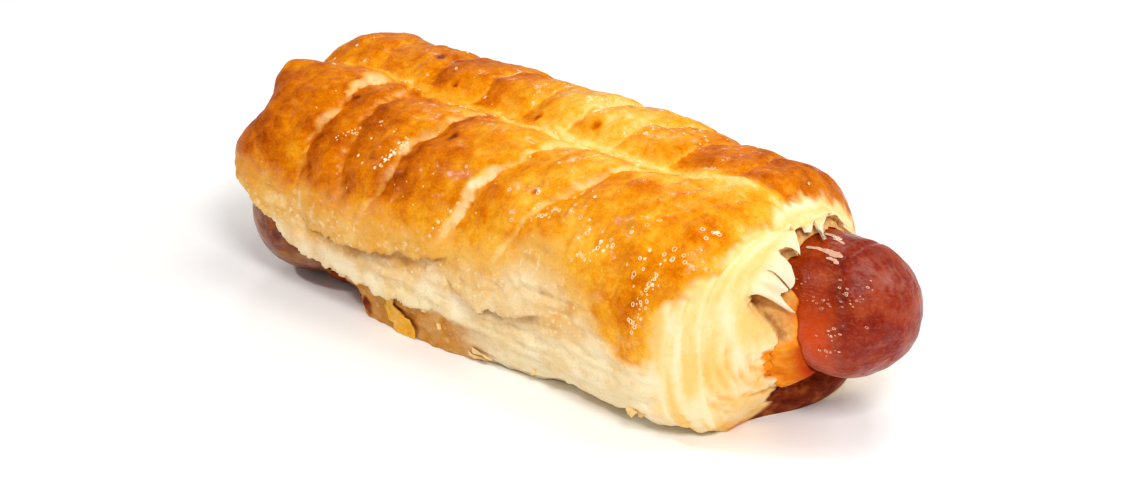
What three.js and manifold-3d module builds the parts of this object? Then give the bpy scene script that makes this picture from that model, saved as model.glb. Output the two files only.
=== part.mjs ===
// Sausage roll: a frankfurter baked inside a wrap of puff pastry.
//
// Millimetres, +Z up. X runs along the roll, towards the end where the sausage sticks out.
// -Y is the side with the open layers. The origin is the middle of the pastry's flat base.
// Angles go round the roll: 0 at the top, negative down the -Y side, positive down the +Y side.

import * as THREE from 'three';
import Module from 'manifold-3d';

// ---- driving dimensions -------------------------------------------------------------------

// The wrap of pastry: a squarish oval, flat underneath, with two lobes either side of a seam.
const ROLL = {
  halfLength: 62.5,
  halfWidth: 29.3,
  axisHeight: 20,        // the oval is drawn round this height
  topReach: 23.6,        // from there to the top of a lobe
  farCrown: 1.8,         // the +Y lobe swells this much more at mid length
  bottomReach: 24.2,     // from there down; the part below the base is cut flat
  squareness: 2.64,      // 2 is an ellipse, more is boxier
  seamAngle: 1,
  seamDepth: 6.3,
  seamSpread: 12.6,
  seamCloses: [28, 56],  // towards the right end the two lobes grow together
  seamLeft: 0.2,         // share of the depth that is left there
  taperFrom: 0.8,        // share of the half length where the ends start to draw in
  taper: 0.38,
  farTaper: 0.5,         // the right end draws in more on the +Y side
  baseTaper: 0.2,
  baseFrom: [110, 150],  // between these angles either way from the top the base begins
  bow: -1.05,            // both ends lean this far towards -Y
};

// The frankfurter: a round bar on a shallow curve, level at the tip that sticks out.
// Towards its other tip it sinks to the base and swings out to the -Y side.
const SAUSAGE = {
  radius: 13,
  leftTip: { x: -62, y: -19, z: 11.2 },
  rightTip: { x: 87.4, y: 2.5, z: 23.8 },
  clearance: 0.3,        // gap between the sausage and the pastry round it
};

// Scored cuts across the two lobes. The pastry beyond each cut starts low and swells up again.
// x is where the cut passes `at` degrees, lean is how far it runs along X for each degree.
const NEAR_CUTS = {
  at: -45, fadeIn: [-82, -66], fadeOut: [-28, -12], depth: 1.9, before: 0.8, after: 5.5,
  cuts: [
    { x: -38.5, lean: 0.05 }, { x: -30.5, lean: -0.06 }, { x: -15.5, lean: 0.15 },
    { x: 6.7, lean: 0.16 }, { x: 23.4, lean: 0.28 },
  ],
};
const FAR_CUTS = {
  at: 22, fadeIn: [5, 14], fadeOut: [60, 95], depth: 1.5, before: 1.0, after: 4.0,
  cuts: [
    { x: -48, lean: 0 }, { x: -33, lean: 0 }, { x: -19, lean: 0.1 }, { x: -6, lean: 0.1 },
    { x: 7, lean: 0.1 }, { x: 20, lean: 0.2 }, { x: 33, lean: 0.1 }, { x: 47, lean: 0 },
  ],
};

// Open layers on the -Y side: each ledge is the edge of a sheet of dough over the one below.
// The ledge follows three angles: at its start, its middle and its end along X.
const LEDGES = [
  { from: -38, to: 2, angles: [-92, -88, -84], step: 1.0 },
  { from: 2, to: 26, angles: [-92, -96, -91], step: 0.9 },
  { from: -50, to: -3, angles: [-100, -107, -110], step: 0.8 },
];
const LEDGE_REACH = 9;   // degrees over which a ledge dies away up and down
const LEDGE_EDGE = 1.2;  // degrees that the step itself takes

// Low on the -Y side, left: the wall ends above the table. The sausage shows under it at the
// end, and the roll's base, set back, further along.
const UNDERCUT = {
  from: -75, to: -25, angles: [-64, -95.5, -116],
  depth: 11, depthAlong: 4.5, footDepth: 1.5, shallowFrom: -49, shallowTo: -41,
  footAngle: -140, lastAngles: [-172, -152], lipSoftness: 7, fadeShare: 0.1,
};

// Low on the -Y side, middle: the bottom sheet spreads on the table.
const FOOT = { from: -29, to: 30, angle: -138, spread: 12, reach: 5, skew: 0.55 };

// Slow unevenness of the baked dough: waves that run along X and turn round the roll.
const WAVES = [
  { height: 0.35, perRadian: 11, turns: 2, start: 0 },
  { height: 0.25, perRadian: 6.1, turns: -3, start: 1.3 },
];

// The torn ends. The open layers bulge forward from the crust to a ragged edge round the
// sausage, and on the right a thin inner sheet runs on along the sausage past that edge.
const ENDS = {
  dome: 1.7,             // how roundly the open layers bulge, 1 is a cone
  forward: 4.6,
  farForward: 2.6,       // less on the +Y side
  nearSlant: 2,          // the right end stops this much shorter at -Y
  baseReach: 3.5,        // and reaches further at the base, a little to +Y
  baseReachAngle: 158,
  baseReachSpread: 35,
  lip: 3.2,              // thickness of the dough at the ragged edge
  farLip: 1.9,
  farAngle: 60,
  farSpread: 50,
  tatters: [{ count: 7, depth: 0.8, start: 0 }, { count: 12, depth: 0.5, start: 1 }],
  sleeve: 1.2,           // thickness of the inner sheet
  sleeveLeast: 0.4,
  sleeveReach: 5.5,
  sleeveAngle: -115,
  sleeveSpread: 50,
  leftReach: 1.5,
  peakReach: -3,
  leftForward: 2.5,
  leftDent: 5.5,         // hollow in the left end's outline
  leftDentAngle: -50,
  leftDentSpread: 15,
  peakAngle: -22,        // the left end keeps its full height here, in a corner
  peakSpread: 16,
  peakHold: 0.75,
};

// How finely the solids are faceted.
const FACETS = {
  around: 64,
  crowding: 0.42,        // facets are this much narrower at the crowded angle
  crowdedAngle: -92,
  along: 47,
  face: 4,
  sausageAround: 32,
  sausageAlong: 12,
  sausageCap: 6,
  tunnel: 14,
  tunnelOvershoot: 14,
};

// ---- small helpers --------------------------------------------------------------------------

const radians = (degrees) => degrees * Math.PI / 180;
const mix = (a, b, share) => a + (b - a) * share;
const clamp01 = (value) => Math.min(1, Math.max(0, value));
const bell = (distance, spread) => Math.exp(-((distance / spread) ** 2));

function smooth(from, to, value) {
  const share = clamp01((value - from) / (to - from));
  return share * share * (3 - 2 * share);
}

// The angle between two directions round the roll.
function apart(a, b) {
  return ((a - b + 540) % 360) - 180;
}

// A smooth curve through three values, at the start, the middle and the end of a stretch.
function throughThree([start, middle, end], share) {
  const bend = middle - (start + end) / 2;
  return mix(start, end, share) + 4 * bend * share * (1 - share);
}

// ---- the pastry's outer surface -------------------------------------------------------------

function sectionRadius(along, angle) {
  const up = Math.cos(radians(angle));
  const out = Math.sin(radians(angle));
  const crown = angle > 0 ? ROLL.farCrown * (1 - along ** 2) * Math.abs(out) : 0;
  const reach = up > 0 ? ROLL.topReach + crown : ROLL.bottomReach;
  const power = ROLL.squareness;
  const sum = (Math.abs(up) / reach) ** power + (Math.abs(out) / ROLL.halfWidth) ** power;
  return sum ** (-1 / power);
}

function seam(along, angle) {
  const open = 1 - smooth(...ROLL.seamCloses, along * ROLL.halfLength);
  const depth = ROLL.seamDepth * mix(ROLL.seamLeft, 1, open);
  return depth * bell(angle - ROLL.seamAngle, ROLL.seamSpread);
}

// Depth of the scored cuts on one lobe: steep before the cut, a long swell after it.
function scoring(lobe, x, angle) {
  const window = smooth(...lobe.fadeIn, angle) * (1 - smooth(...lobe.fadeOut, angle));
  let depth = 0;
  for (const cut of lobe.cuts) {
    const past = x - cut.x - cut.lean * (angle - lobe.at);
    depth += Math.exp(past < 0 ? past / lobe.before : -past / lobe.after);
  }
  return lobe.depth * window * depth;
}

// Relief of one ledge: raised above its edge, sunk below it.
function ledgeRelief(ledge, x, angle) {
  const share = (x - ledge.from) / (ledge.to - ledge.from);
  if (share <= 0 || share >= 1) return 0;
  const above = angle - throughThree(ledge.angles, share);
  const strength = ledge.step * Math.sqrt(Math.sin(Math.PI * share));
  return strength * Math.tanh(above / LEDGE_EDGE) * Math.exp(-Math.abs(above) / LEDGE_REACH);
}

function undercutDepth(x, angle) {
  const share = (x - UNDERCUT.from) / (UNDERCUT.to - UNDERCUT.from);
  if (share <= 0 || share >= 1 || angle > 0) return 0;
  const edge = throughThree(UNDERCUT.angles, share);
  const lip = 1 - smooth(edge - UNDERCUT.lipSoftness, edge, angle);
  const foot = smooth(...UNDERCUT.lastAngles, angle);
  const start = smooth(0, UNDERCUT.fadeShare, 1 - share);
  const below = clamp01((edge - angle) / (edge - UNDERCUT.footAngle));
  const shallow = mix(UNDERCUT.depthAlong, UNDERCUT.footDepth, below);
  const along = smooth(UNDERCUT.shallowFrom, UNDERCUT.shallowTo, x);
  return mix(UNDERCUT.depth, shallow, along) * start * lip * foot;
}

function footReach(x, angle) {
  const share = clamp01((x - FOOT.from) / (FOOT.to - FOOT.from));
  const swell = Math.sin(Math.PI * share ** FOOT.skew) ** 0.7;
  return FOOT.reach * swell * bell(angle - FOOT.angle, FOOT.spread);
}

function unevenness(x, angle) {
  let height = 0;
  for (const wave of WAVES) {
    height += wave.height * Math.sin(x / wave.perRadian + wave.turns * radians(angle) + wave.start);
  }
  return height;
}

// How far an end's outline reaches past the half length.
function endReach(side, angle) {
  if (side > 0) {
    const base = bell(apart(angle, ENDS.baseReachAngle), ENDS.baseReachSpread);
    return ENDS.baseReach * base - ENDS.nearSlant * Math.max(0, -Math.sin(radians(angle)));
  }
  const dent = ENDS.leftDent * bell(angle - ENDS.leftDentAngle, ENDS.leftDentSpread);
  return ENDS.leftReach + ENDS.peakReach * bell(angle - ENDS.peakAngle, ENDS.peakSpread) - dent;
}

// The roll narrows towards its ends, less at the base and at the left end's top corner.
function endTaper(along, angle) {
  const share = clamp01((Math.abs(along) - ROLL.taperFrom) / (1 - ROLL.taperFrom));
  const under = smooth(...ROLL.baseFrom, Math.abs(angle));
  const peak = along < 0 ? ENDS.peakHold * bell(angle - ENDS.peakAngle, ENDS.peakSpread) : 0;
  const far = along > 0 ? bell(angle - ENDS.farAngle, ENDS.farSpread) : 0;
  const taper = mix(ROLL.taper * (1 - peak), ROLL.farTaper, far);
  return Math.sqrt(1 - mix(taper, ROLL.baseTaper, under) * share ** 2);
}

function outerPoint(along, angle) {
  const side = Math.sign(along);
  const x = along * ROLL.halfLength + side * endReach(side, angle) * along ** 4;
  let radius = sectionRadius(along, angle) - seam(along, angle) + unevenness(x, angle);
  radius -= scoring(NEAR_CUTS, x, angle) + scoring(FAR_CUTS, x, angle);
  for (const ledge of LEDGES) radius += ledgeRelief(ledge, x, angle);
  radius += footReach(x, angle) - undercutDepth(x, angle);
  radius *= endTaper(along, angle);
  const y = radius * Math.sin(radians(angle)) + ROLL.bow * along ** 2;
  const z = ROLL.axisHeight + radius * Math.cos(radians(angle));
  return new THREE.Vector3(x, y, Math.max(0, z));
}

// ---- the sausage's centre line ----------------------------------------------------------------

const leftTip = new THREE.Vector3(SAUSAGE.leftTip.x, SAUSAGE.leftTip.y, SAUSAGE.leftTip.z);
const rightTip = new THREE.Vector3(SAUSAGE.rightTip.x, SAUSAGE.rightTip.y, SAUSAGE.rightTip.z);
const levelPoint = new THREE.Vector3((leftTip.x + rightTip.x) / 2, rightTip.y, rightTip.z);
const centreLine = new THREE.QuadraticBezierCurve3(leftTip, levelPoint, rightTip);
const shareAtX = (x) => (x - leftTip.x) / (rightTip.x - leftTip.x);

// A point off the centre line, square to it: share 0 is the left tip, 1 the right tip.
function roundPoint(share, angle, radius) {
  const ahead = centreLine.getPoint(share + 0.001).sub(centreLine.getPoint(share - 0.001));
  const across = new THREE.Vector3(0, 0, 1).cross(ahead).normalize();
  const upward = ahead.normalize().cross(across);
  return centreLine.getPoint(share)
    .addScaledVector(across, radius * Math.sin(radians(angle)))
    .addScaledVector(upward, radius * Math.cos(radians(angle)));
}

// ---- surfaces made of rings of points -------------------------------------------------------

// Joins rings of points, in order along +X, and closes both ends with a point.
function skinRings(startPoint, rings, endPoint) {
  const columns = rings[0].length;
  const positions = [...rings.flat(), startPoint, endPoint].flatMap((point) => point.toArray());
  const start = rings.length * columns;
  const lastRing = start - columns;
  const indices = [];
  for (let j = 0; j < columns; j++) {
    const k = (j + 1) % columns;
    for (let here = 0; here < lastRing; here += columns) {
      const next = here + columns;
      indices.push(here + j, next + j, next + k, here + j, next + k, here + k);
    }
    indices.push(start, j, k, start + 1, lastRing + k, lastRing + j);
  }
  return { positions, indices };
}

// ---- the pastry solid ----------------------------------------------------------------------

function pastryAngles() {
  const angles = [];
  for (let i = 0; i < FACETS.around; i++) {
    const even = -180 + 360 * i / FACETS.around;
    const shift = Math.sin(radians(even - FACETS.crowdedAngle)) * 180 / Math.PI;
    const angle = even - FACETS.crowding * shift;
    angles.push(angle > 180 ? angle - 360 : angle);
  }
  return angles;
}

// How much the +Y side's own sizes count at the right end.
const farShare = (angle) => bell(apart(angle, ENDS.farAngle), ENDS.farSpread);

// A point at the ragged edge round the sausage at the right end, or beyond it along X.
function edgePoint(angle, radius, beyond) {
  const forward = mix(ENDS.forward, ENDS.farForward, farShare(angle));
  let x = ROLL.halfLength + endReach(1, angle) + forward + beyond;
  for (const tatter of ENDS.tatters) {
    x += tatter.depth * Math.sin(tatter.count * radians(angle) + tatter.start);
  }
  return roundPoint(shareAtX(x), angle, radius);
}

// A point on a torn end's bulging face: share 0 is its rim, 1 is the given point.
function facePoint(side, angle, towards, share) {
  const rim = outerPoint(side, angle);
  const x = mix(rim.x, towards.x, 1 - (1 - share) ** ENDS.dome);
  return rim.lerp(towards, share).setX(x);
}

// Rings over the right end: forward over the open layers, down the ragged edge, along the
// inner sheet and in towards the sausage's middle, where the tunnel cuts them away.
function rightEndRings(angles) {
  const lip = (angle) => SAUSAGE.radius + mix(ENDS.lip, ENDS.farLip, farShare(angle));
  const sleeve = SAUSAGE.radius + SAUSAGE.clearance + ENDS.sleeve;
  const inside = SAUSAGE.radius - ENDS.sleeve;
  const beyond = (angle) => ENDS.sleeveLeast
    + ENDS.sleeveReach * bell(apart(angle, ENDS.sleeveAngle), ENDS.sleeveSpread);
  const rings = [];
  for (let i = 1; i <= FACETS.face; i++) {
    const share = i / FACETS.face;
    rings.push(angles.map((angle) => (
      facePoint(1, angle, edgePoint(angle, lip(angle), 0), share))));
  }
  rings.push(angles.map((angle) => edgePoint(angle, sleeve, 0)));
  rings.push(angles.map((angle) => edgePoint(angle, sleeve, beyond(angle))));
  rings.push(angles.map((angle) => edgePoint(angle, inside, beyond(angle))));
  return rings;
}

// Rings over the left end, from its middle out towards the rim.
function leftEndRings(angles, middle) {
  const rings = [];
  for (let i = FACETS.face - 1; i >= 1; i--) {
    rings.push(angles.map((angle) => facePoint(-1, angle, middle, i / FACETS.face)));
  }
  return rings;
}

function wrapSurface() {
  const angles = pastryAngles();
  const { halfLength, axisHeight } = ROLL;
  const leftMiddle = new THREE.Vector3(-halfLength - ENDS.leftForward, 0, axisHeight);
  const rings = leftEndRings(angles, leftMiddle);
  for (let i = 0; i < FACETS.along; i++) {
    const along = -1 + 2 * i / (FACETS.along - 1);
    rings.push(angles.map((angle) => outerPoint(along, angle)));
  }
  rings.push(...rightEndRings(angles));
  const rightMiddle = centreLine.getPoint(shareAtX(halfLength + ENDS.forward));
  return skinRings(leftMiddle, rings, rightMiddle);
}

// ---- the sausage and the tunnel it leaves ----------------------------------------------------

function sausageRing(share, radius) {
  const ring = [];
  for (let j = 0; j < FACETS.sausageAround; j++) {
    ring.push(roundPoint(share, 360 * j / FACETS.sausageAround, radius));
  }
  return ring;
}

function sausageSurface() {
  const { radius } = SAUSAGE;
  const capShare = radius / (rightTip.x - leftTip.x);
  const rings = [];
  const caps = [];
  for (let i = 1; i <= FACETS.sausageCap; i++) {
    const turn = radians(90 * i / FACETS.sausageCap);
    caps.push({ share: capShare * (1 - Math.cos(turn)), radius: radius * Math.sin(turn) });
  }
  for (const cap of caps) rings.push(sausageRing(cap.share, cap.radius));
  for (let i = 1; i < FACETS.sausageAlong; i++) {
    rings.push(sausageRing(mix(capShare, 1 - capShare, i / FACETS.sausageAlong), radius));
  }
  for (const cap of caps.reverse()) rings.push(sausageRing(1 - cap.share, cap.radius));
  return skinRings(leftTip, rings, rightTip);
}

function tunnelSurface() {
  const start = shareAtX(-ROLL.halfLength - FACETS.tunnelOvershoot);
  const end = shareAtX(ROLL.halfLength + FACETS.tunnelOvershoot);
  const rings = [];
  for (let i = 0; i <= FACETS.tunnel; i++) {
    const share = mix(start, end, i / FACETS.tunnel);
    rings.push(sausageRing(share, SAUSAGE.radius + SAUSAGE.clearance));
  }
  return skinRings(centreLine.getPoint(start), rings, centreLine.getPoint(end));
}

// ---- solids ----------------------------------------------------------------------------------

const wasm = await Module();
wasm.setup();

function solidOf({ positions, indices }) {
  return new wasm.Manifold(new wasm.Mesh({
    numProp: 3,
    vertProperties: new Float32Array(positions),
    triVerts: new Uint32Array(indices),
  }));
}

function surfaceOf(solid) {
  const mesh = solid.getMesh();
  return { positions: mesh.vertProperties, indices: mesh.triVerts };
}

// The wrap with the tunnel cut through it, without any scrap that the cut sets loose.
function pastrySurface() {
  const cut = solidOf(wrapSurface()).subtract(solidOf(tunnelSurface()));
  const bodies = cut.decompose().sort((a, b) => b.volume() - a.volume());
  return surfaceOf(bodies[0]);
}

function namedMesh(name, { positions, indices }, color, roughness) {
  const geometry = new THREE.BufferGeometry();
  geometry.setAttribute('position', new THREE.Float32BufferAttribute(positions, 3));
  geometry.setIndex(Array.from(indices));
  geometry.computeVertexNormals();
  const material = new THREE.MeshStandardMaterial({ color, roughness, metalness: 0 });
  const mesh = new THREE.Mesh(geometry, material);
  mesh.name = name;
  return mesh;
}

const sausageRoll = new THREE.Group();
sausageRoll.add(namedMesh('pastry', pastrySurface(), 0xdb9a3c, 0.45));
sausageRoll.add(namedMesh('sausage', sausageSurface(), 0x8f2a17, 0.3));

export default sausageRoll;
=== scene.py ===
"""The sausage roll's looks: the forms of the solids made finer, with their baked surface.

Forms are worked out in millimetres and degrees, meshes are made in metres. X runs along the
roll, towards the end where the sausage sticks out. Angles go round the roll: 0 at the top,
negative down the -Y side, positive down the +Y side.
"""

import math
from types import SimpleNamespace as Sizes

import bpy
import numpy as np
from mathutils import Matrix, noise


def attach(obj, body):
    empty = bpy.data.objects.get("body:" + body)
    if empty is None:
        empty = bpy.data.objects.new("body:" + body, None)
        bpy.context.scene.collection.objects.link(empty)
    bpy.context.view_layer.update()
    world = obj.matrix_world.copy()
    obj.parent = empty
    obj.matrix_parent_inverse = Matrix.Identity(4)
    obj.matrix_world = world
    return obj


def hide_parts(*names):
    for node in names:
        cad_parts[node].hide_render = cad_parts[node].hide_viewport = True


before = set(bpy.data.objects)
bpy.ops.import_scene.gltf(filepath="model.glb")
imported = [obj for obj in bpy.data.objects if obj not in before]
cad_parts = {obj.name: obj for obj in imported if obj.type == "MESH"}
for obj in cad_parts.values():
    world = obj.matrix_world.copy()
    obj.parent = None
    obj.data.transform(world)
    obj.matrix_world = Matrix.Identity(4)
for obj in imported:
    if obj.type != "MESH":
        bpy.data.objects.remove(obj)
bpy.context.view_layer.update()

MM = 0.001

# ---- forms shared with the solids ----

# The wrap of pastry: a squarish oval, flat underneath, with two lobes either side of a seam.
ROLL = Sizes(
    half_length=62.5, half_width=29.3, axis_height=20, top_reach=23.6, far_crown=1.8,
    bottom_reach=24.2, squareness=2.64, seam_angle=1, seam_depth=6.3, seam_spread=12.6,
    seam_closes=(28, 56), seam_left=0.2, taper_from=0.8, taper=0.38, far_taper=0.5,
    base_taper=0.2, base_from=(110, 150), bow=-1.05,
)

# The frankfurter: a round bar on a shallow curve.
SAUSAGE = Sizes(
    radius=13, clearance=0.3,
    left_tip=np.array((-62, -19, 11.2)), right_tip=np.array((87.4, 2.5, 23.8)),
)

# Scored cuts across the two lobes: (x, lean, width of the pale split near the seam and far
# from it, darkness beyond it: browning and painted shade on the flank that rises from the cut).
NEAR_CUTS = Sizes(
    at=-45, fade=(-84, -68, -20, -3), depth=2.3, before=0.8, after=5.5, rim=0.10,
    seamward=-20, outward=-75,
    cuts=[
        (-38.5, 0.05, 3, 0.1, 0.5), (-30.5, -0.06, 0.8, 0.1, 0.5), (-15.5, 0.13, 0.9, 1.3, 0.9),
        (6.7, 0.19, 0.8, 3, 0.5), (23.4, 0.28, 1.2, 0.5, 0.4),
    ],
)
FAR_CUTS = Sizes(
    at=22, fade=(3, 12, 45, 85), depth=1.3, before=1.3, after=4, rim=0.06,
    seamward=8, outward=60,
    cuts=[
        (-48, 0, 0.1, 0.1, 0.2), (-33, 0, 0.1, 0.1, 0.5), (-19, 0.1, 0.8, 0.1, 0.6),
        (-6, 0.1, 0.1, 0.6, 0.5), (7, 0.1, 1, 0.2, 0.7), (20, 0.2, 0.2, 0.8, 0.4),
        (33, 0.1, 0.8, 0.2, 0.5), (47, 0, 0.1, 0.4, 0.4),
    ],
)
CUT = Sizes(wander=1.1, wander_size=16, uneven=0.6, uneven_size=20, rim_at=-1.1, rim_spread=0.6)

# Ledges on the -Y side: (from x, to x, angles at start, middle and end, step).
LEDGES = [
    (-38, 2, (-92, -88, -84), 1.5),
    (2, 26, (-92, -96, -91), 1.3),
    (-50, -3, (-100, -107, -110), 1.2),
]
LEDGE = Sizes(reach=9, edge=0.5, wobble=2.4, wobble_size=4, hang=4.5, hang_width=2.2,
              shade_from=0.4, shade_reach=4.5)

# Low on the -Y side, left: the wall ends above the table.
UNDERCUT = Sizes(
    start=-75, end=-25, angles=(-64, -95.5, -116), depth=11, depth_along=4.5,
    foot_depth=1.5, shallow=(-49, -41), foot_angle=-140, last_angles=(-172, -152),
    lip_softness=4, fade_share=0.1, wobble=1.2, wobble_size=4.5,
)

# Low on the -Y side, middle: the bottom sheet spreads on the table.
FOOT = Sizes(start=-31, end=30, angle=-138, spread=12, reach=6.2, skew=0.50,
             fullness=0.7)

# The lower edge of the -Y side curls in above the table.
HEM = Sizes(window=(-2, 6, 52, 58), angle=-141, spread=10, depth=2.2, size=7, ragged=0.9)

# Slow unevenness of the baked dough: (height, mm per radian along X, waves round, start).
WAVES = [(0.35, 11, 2, 0), (0.25, 6.1, -3, 1.3)]

# The torn ends.
ENDS = Sizes(
    dome=1.7, forward=4.6, far_forward=2.6, near_slant=2, base_reach=3.5,
    base_reach_angle=158, base_reach_spread=35, lip=3.2, far_lip=1.9, far_angle=60,
    far_spread=50, tatters=[(7, 0.8, 0), (12, 0.5, 1)], sleeve=1.2, sleeve_least=0.4,
    left_reach=1.5, left_forward=2.5, left_dent=5.5, left_dent_angle=-50, left_dent_spread=15,
    peak_reach=-3, peak_angle=-22, peak_spread=16, peak_hold=0.75, ragged=0.8, ragged_size=6,
)

# ---- finer relief, made only here ----

ARC = 0.44  # mm round the roll for each degree

# Random relief: (height, size along X, size round the roll, octaves).
CRUST_RELIEF = [
    (0.55, 11, 9, 1), (0.42, 3.2, 8, 2), (0.42, 4.2, 3.4, 2), (0.14, 1.3, 1.2, 2),
]
DOUGH_RELIEF = [(0.65, 6, 4, 2), (0.50, 13, 1.8, 2), (0.34, 2.2, 1.4, 2)]
LEAN = 0.12  # mm along X for each degree: the crust's wrinkles lean as its cuts do

# Small folds along the seam, on dough that fills it a little.
SEAM_FOLDS = Sizes(height=0.75, fill=1.5, spread=9, size=7, size_round=1.9,
                   wander=5, wander_size=17)

# The near lobe's edge stands over the seam as a thin pale rim.
SEAM_RIM = Sizes(angle=-4.5, step=1.3, edge=1.2, reach=6, height=0.8, width=2,
                 window=(-52, -44, 30, 44), uneven=0.9, size=2.2)

# A rough patch where the dough of the side burst.
BURST = Sizes(x=24, half=7, angle=-82, spread=8, height=0.75, size=1.7)

# A burnt speck on the bottom sheet, at its left corner.
BURN = Sizes(x=-24.4, half=1.2, angle=-124, spread=3.6, strength=1.8)

# Small dark blisters on the crust: (x, angle, radius in mm).
BLISTERS = [
    (-35.7, 23.1, 0.9), (11.1, 12.5, 1), (-26, 10, 0.5), (-3, 8, 0.7), (-36.5, -33, 0.6),
    (-8.5, -36, 0.8), (4, 30, 0.6), (-14, 40, 0.7), (27, 52, 0.8), (-44, 60, 0.6), (18, -48, 0.5),
]
BLISTER_DEPTH = 0.35

# Low on the near side the right end stands a little further back.
BASE_SETBACK = Sizes(angle=-155, spread=22, depth=2.4)

# The egg wash: its edge low on the near side, with what lifts that line as (x, spread, degrees),
# the edge's softness below and above it, less towards the right end, and its far edge.
GLAZE = Sizes(near_edge=-79, lifts=[(26, 9, 15), (50, 9, -17)], soft=(-13, 11), sharper=0.4,
              sharper_from=(34, 44), far_edge=(92, 112), fray=5, sizes=(5, 3.5))

# The open layers of the right end: sheets that stand a little proud of the one outside them,
# with streaks and fibres, whose sizes are given round the roll and inwards.
LAYERS = Sizes(count=5, depth=0.2, deep_angle=-128, deep_spread=34,
               wander=1.5, wander_size=15, skew=0.8, streak_sizes=(22, 0.053125),
               streak_depth=0.25, full_at=0.85, edge_fade=0.6, fibre_sizes=(14, 1.5))

# The layers of the left end lie flat: sizes along X, Y and Z. The dough next to the sausage is
# stained and juicy, up to a ragged line that many mm from it, and the face is browned above.
LEFT_LAYERS = Sizes(sizes=(4, 7, 1.5), depth=0.9, gaps=(0.1, 0.5), juice=(6, 2),
                    stain=(2.6, 1.2), stain_wander=2.2, stain_sizes=(3, 3, 2),
                    browned=(-95, -70, 80, 105), browned_shares=(0.75, 0.2))

# Gaps between the layers of the right end: each runs through three places (angle, share of the
# face), and has a depth and a half width in mm.
GAPS = [
    ((-98, 0.71), (-112, 0.74), (-119, 0.88), 0.5, 0.30),
    ((-84, 0.42), (-103, 0.40), (-121, 0.56), 0.25, 0.35),
    ((-93, 0.08), (-110, 0.13), (-128, 0.41), 0.35, 0.32),
    ((-112, 0.08), (-122, 0.29), (-131, 0.42), 0.30, 0.30),
    ((-112, 0.00), (-126, 0.17), (-139, 0.40), 0.30, 0.30),
    ((-126, 0.48), (-136, 0.65), (-149, 0.88), 1, 0.50),
    ((-99, 0.25), (-108, 0.27), (-117, 0.36), 0.2, 0.40),
    ((-106, 0.55), (-117, 0.58), (-127, 0.70), 0.25, 0.35),
    ((-118, 0.10), (-126, 0.28), (-134, 0.46), 0.25, 0.28),
]
GAP = Sizes(steps=20, round=0.36, inward=11, warp=0.5, warp_size=3, soft=2.2)

# How the ragged edge at the right end reaches forward or back: (angle, spread, mm).
EDGE_NICKS = [
    (-70, 11, -2.2), (-99, 11, 4), (-117, 9, 1.6), (-38, 4, -1), (-15, 5, -1),
]
# Torn horns of dough on that edge: (angle, half width in degrees, reach in mm, how many degrees
# the tip swings round the sausage, how far it drops towards it, power of its swell).
HORNS = [
    (4, 6, 3.2, -19, 1.6, 4), (-6, 4.5, 1.8, -9, 1.2, 5), (-25, 8, 3, -9, 1.5, 6),
    (-41, 4.5, 3.6, -4, 1.4, 7), (-45, 5.5, 4.4, -15, 1.8, 7), (-55, 3.5, 4.6, -5, 1.4, 7),
    (-61, 6, 8.6, -14, 2, 7), (-137, 9, 2, 3, 0.6, 5),
]
HORN = Sizes(sharpness=1.15, ragged=0.35, ragged_size=0.8, raw=1.6)
# The torn edge crumbles: over which share of the face, and how coarse and high the crumbs are.
CRUMBLE = Sizes(shares=(0.62, 1), depth=14, size=1.8, height=0.9, sideways=0.012, power=5)

# The inner sheet runs further along the sausage low on the -Y side, and thickens to a slope.
SLEEVE = Sizes(
    window=(-166, -150, -68, -50), slope_starts=(-94, -106), reach=6.6, recess=0.8, ragged=0.5,
    ragged_size=5, thins=1.65, bulge=1.7, bulge_angle=-143, bulge_spread=14, steps=3,
    bumps=0.5, bump_sizes=(1.8, 2.2), orange=(92, 108, 154, 168), red=1.7,
    soaked=(149, 160),
)

# The sausage's skin: its relief, a crease near the right tip, and a flat side beyond it.
SKIN = Sizes(around=220, along=300, cap=34, gap=0.06, tip=(72, 84),
             swell=0.30, swell_sizes=(5, 4, 4), fold=0.16, fold_sizes=(9, 2.4, 2.4),
             crease=(76, 81), crease_angles=(20, 75), crease_depth=0.35, crease_spread=0.6,
             flat=1.1, flat_angle=-125, flat_spread=50, flat_from=(76, 86),
             swell_inside=0.5, sunk=0.3, most=0.2, free_from=(78, 81))

# How many points the pastry's parts have along and round them.
GRID = Sizes(around=288, crowding=0.40, crowded_angle=-80, along=230, face=62,
             face_crowding=1.5, sleeve=8, left_face=16, tunnel=60, tunnel_around=160,
             overshoot=14)


# ---- small helpers ----

def sin(degrees):
    return np.sin(np.radians(degrees))


def cos(degrees):
    return np.cos(np.radians(degrees))


def mix(a, b, share):
    return a + (b - a) * share


def bell(distance, spread):
    return np.exp(-((distance / spread) ** 2))


def turns(count):
    """Angles evenly round a circle."""
    return np.linspace(0, 360, count, endpoint=False)


def unit(vectors):
    return vectors / np.linalg.norm(vectors, axis=-1, keepdims=True)


def stacked(x, y, z):
    """Points from their coordinates."""
    return np.stack(np.broadcast_arrays(x, y, z), axis=-1)


def progress(start, end, value):
    """How far a value has come from start to end, 0 to 1."""
    return np.clip((value - start) / (end - start), 0, 1)


def smooth(start, end, value):
    """0 at start and 1 at end, whichever of the two is larger, with soft ends."""
    share = progress(start, end, value)
    return share * share * (3 - 2 * share)


def window(start, full, fading, gone, value):
    """1 between full and fading, 0 before start and after gone, with soft ends."""
    return smooth(start, full, value) * (1 - smooth(fading, gone, value))


def patch(place, x, angle):
    """A soft round zone at a place on the roll."""
    return bell(x - place.x, place.half) * bell(angle - place.angle, place.spread)


def apart(a, b):
    """The angle between two directions round the roll."""
    return (a - b + 540) % 360 - 180


def through_three(values, share):
    """A smooth curve through three values: start, middle and end."""
    start, middle, end = values
    bend = middle - (start + end) / 2
    return mix(start, end, share) + 4 * bend * share * (1 - share)


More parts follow.
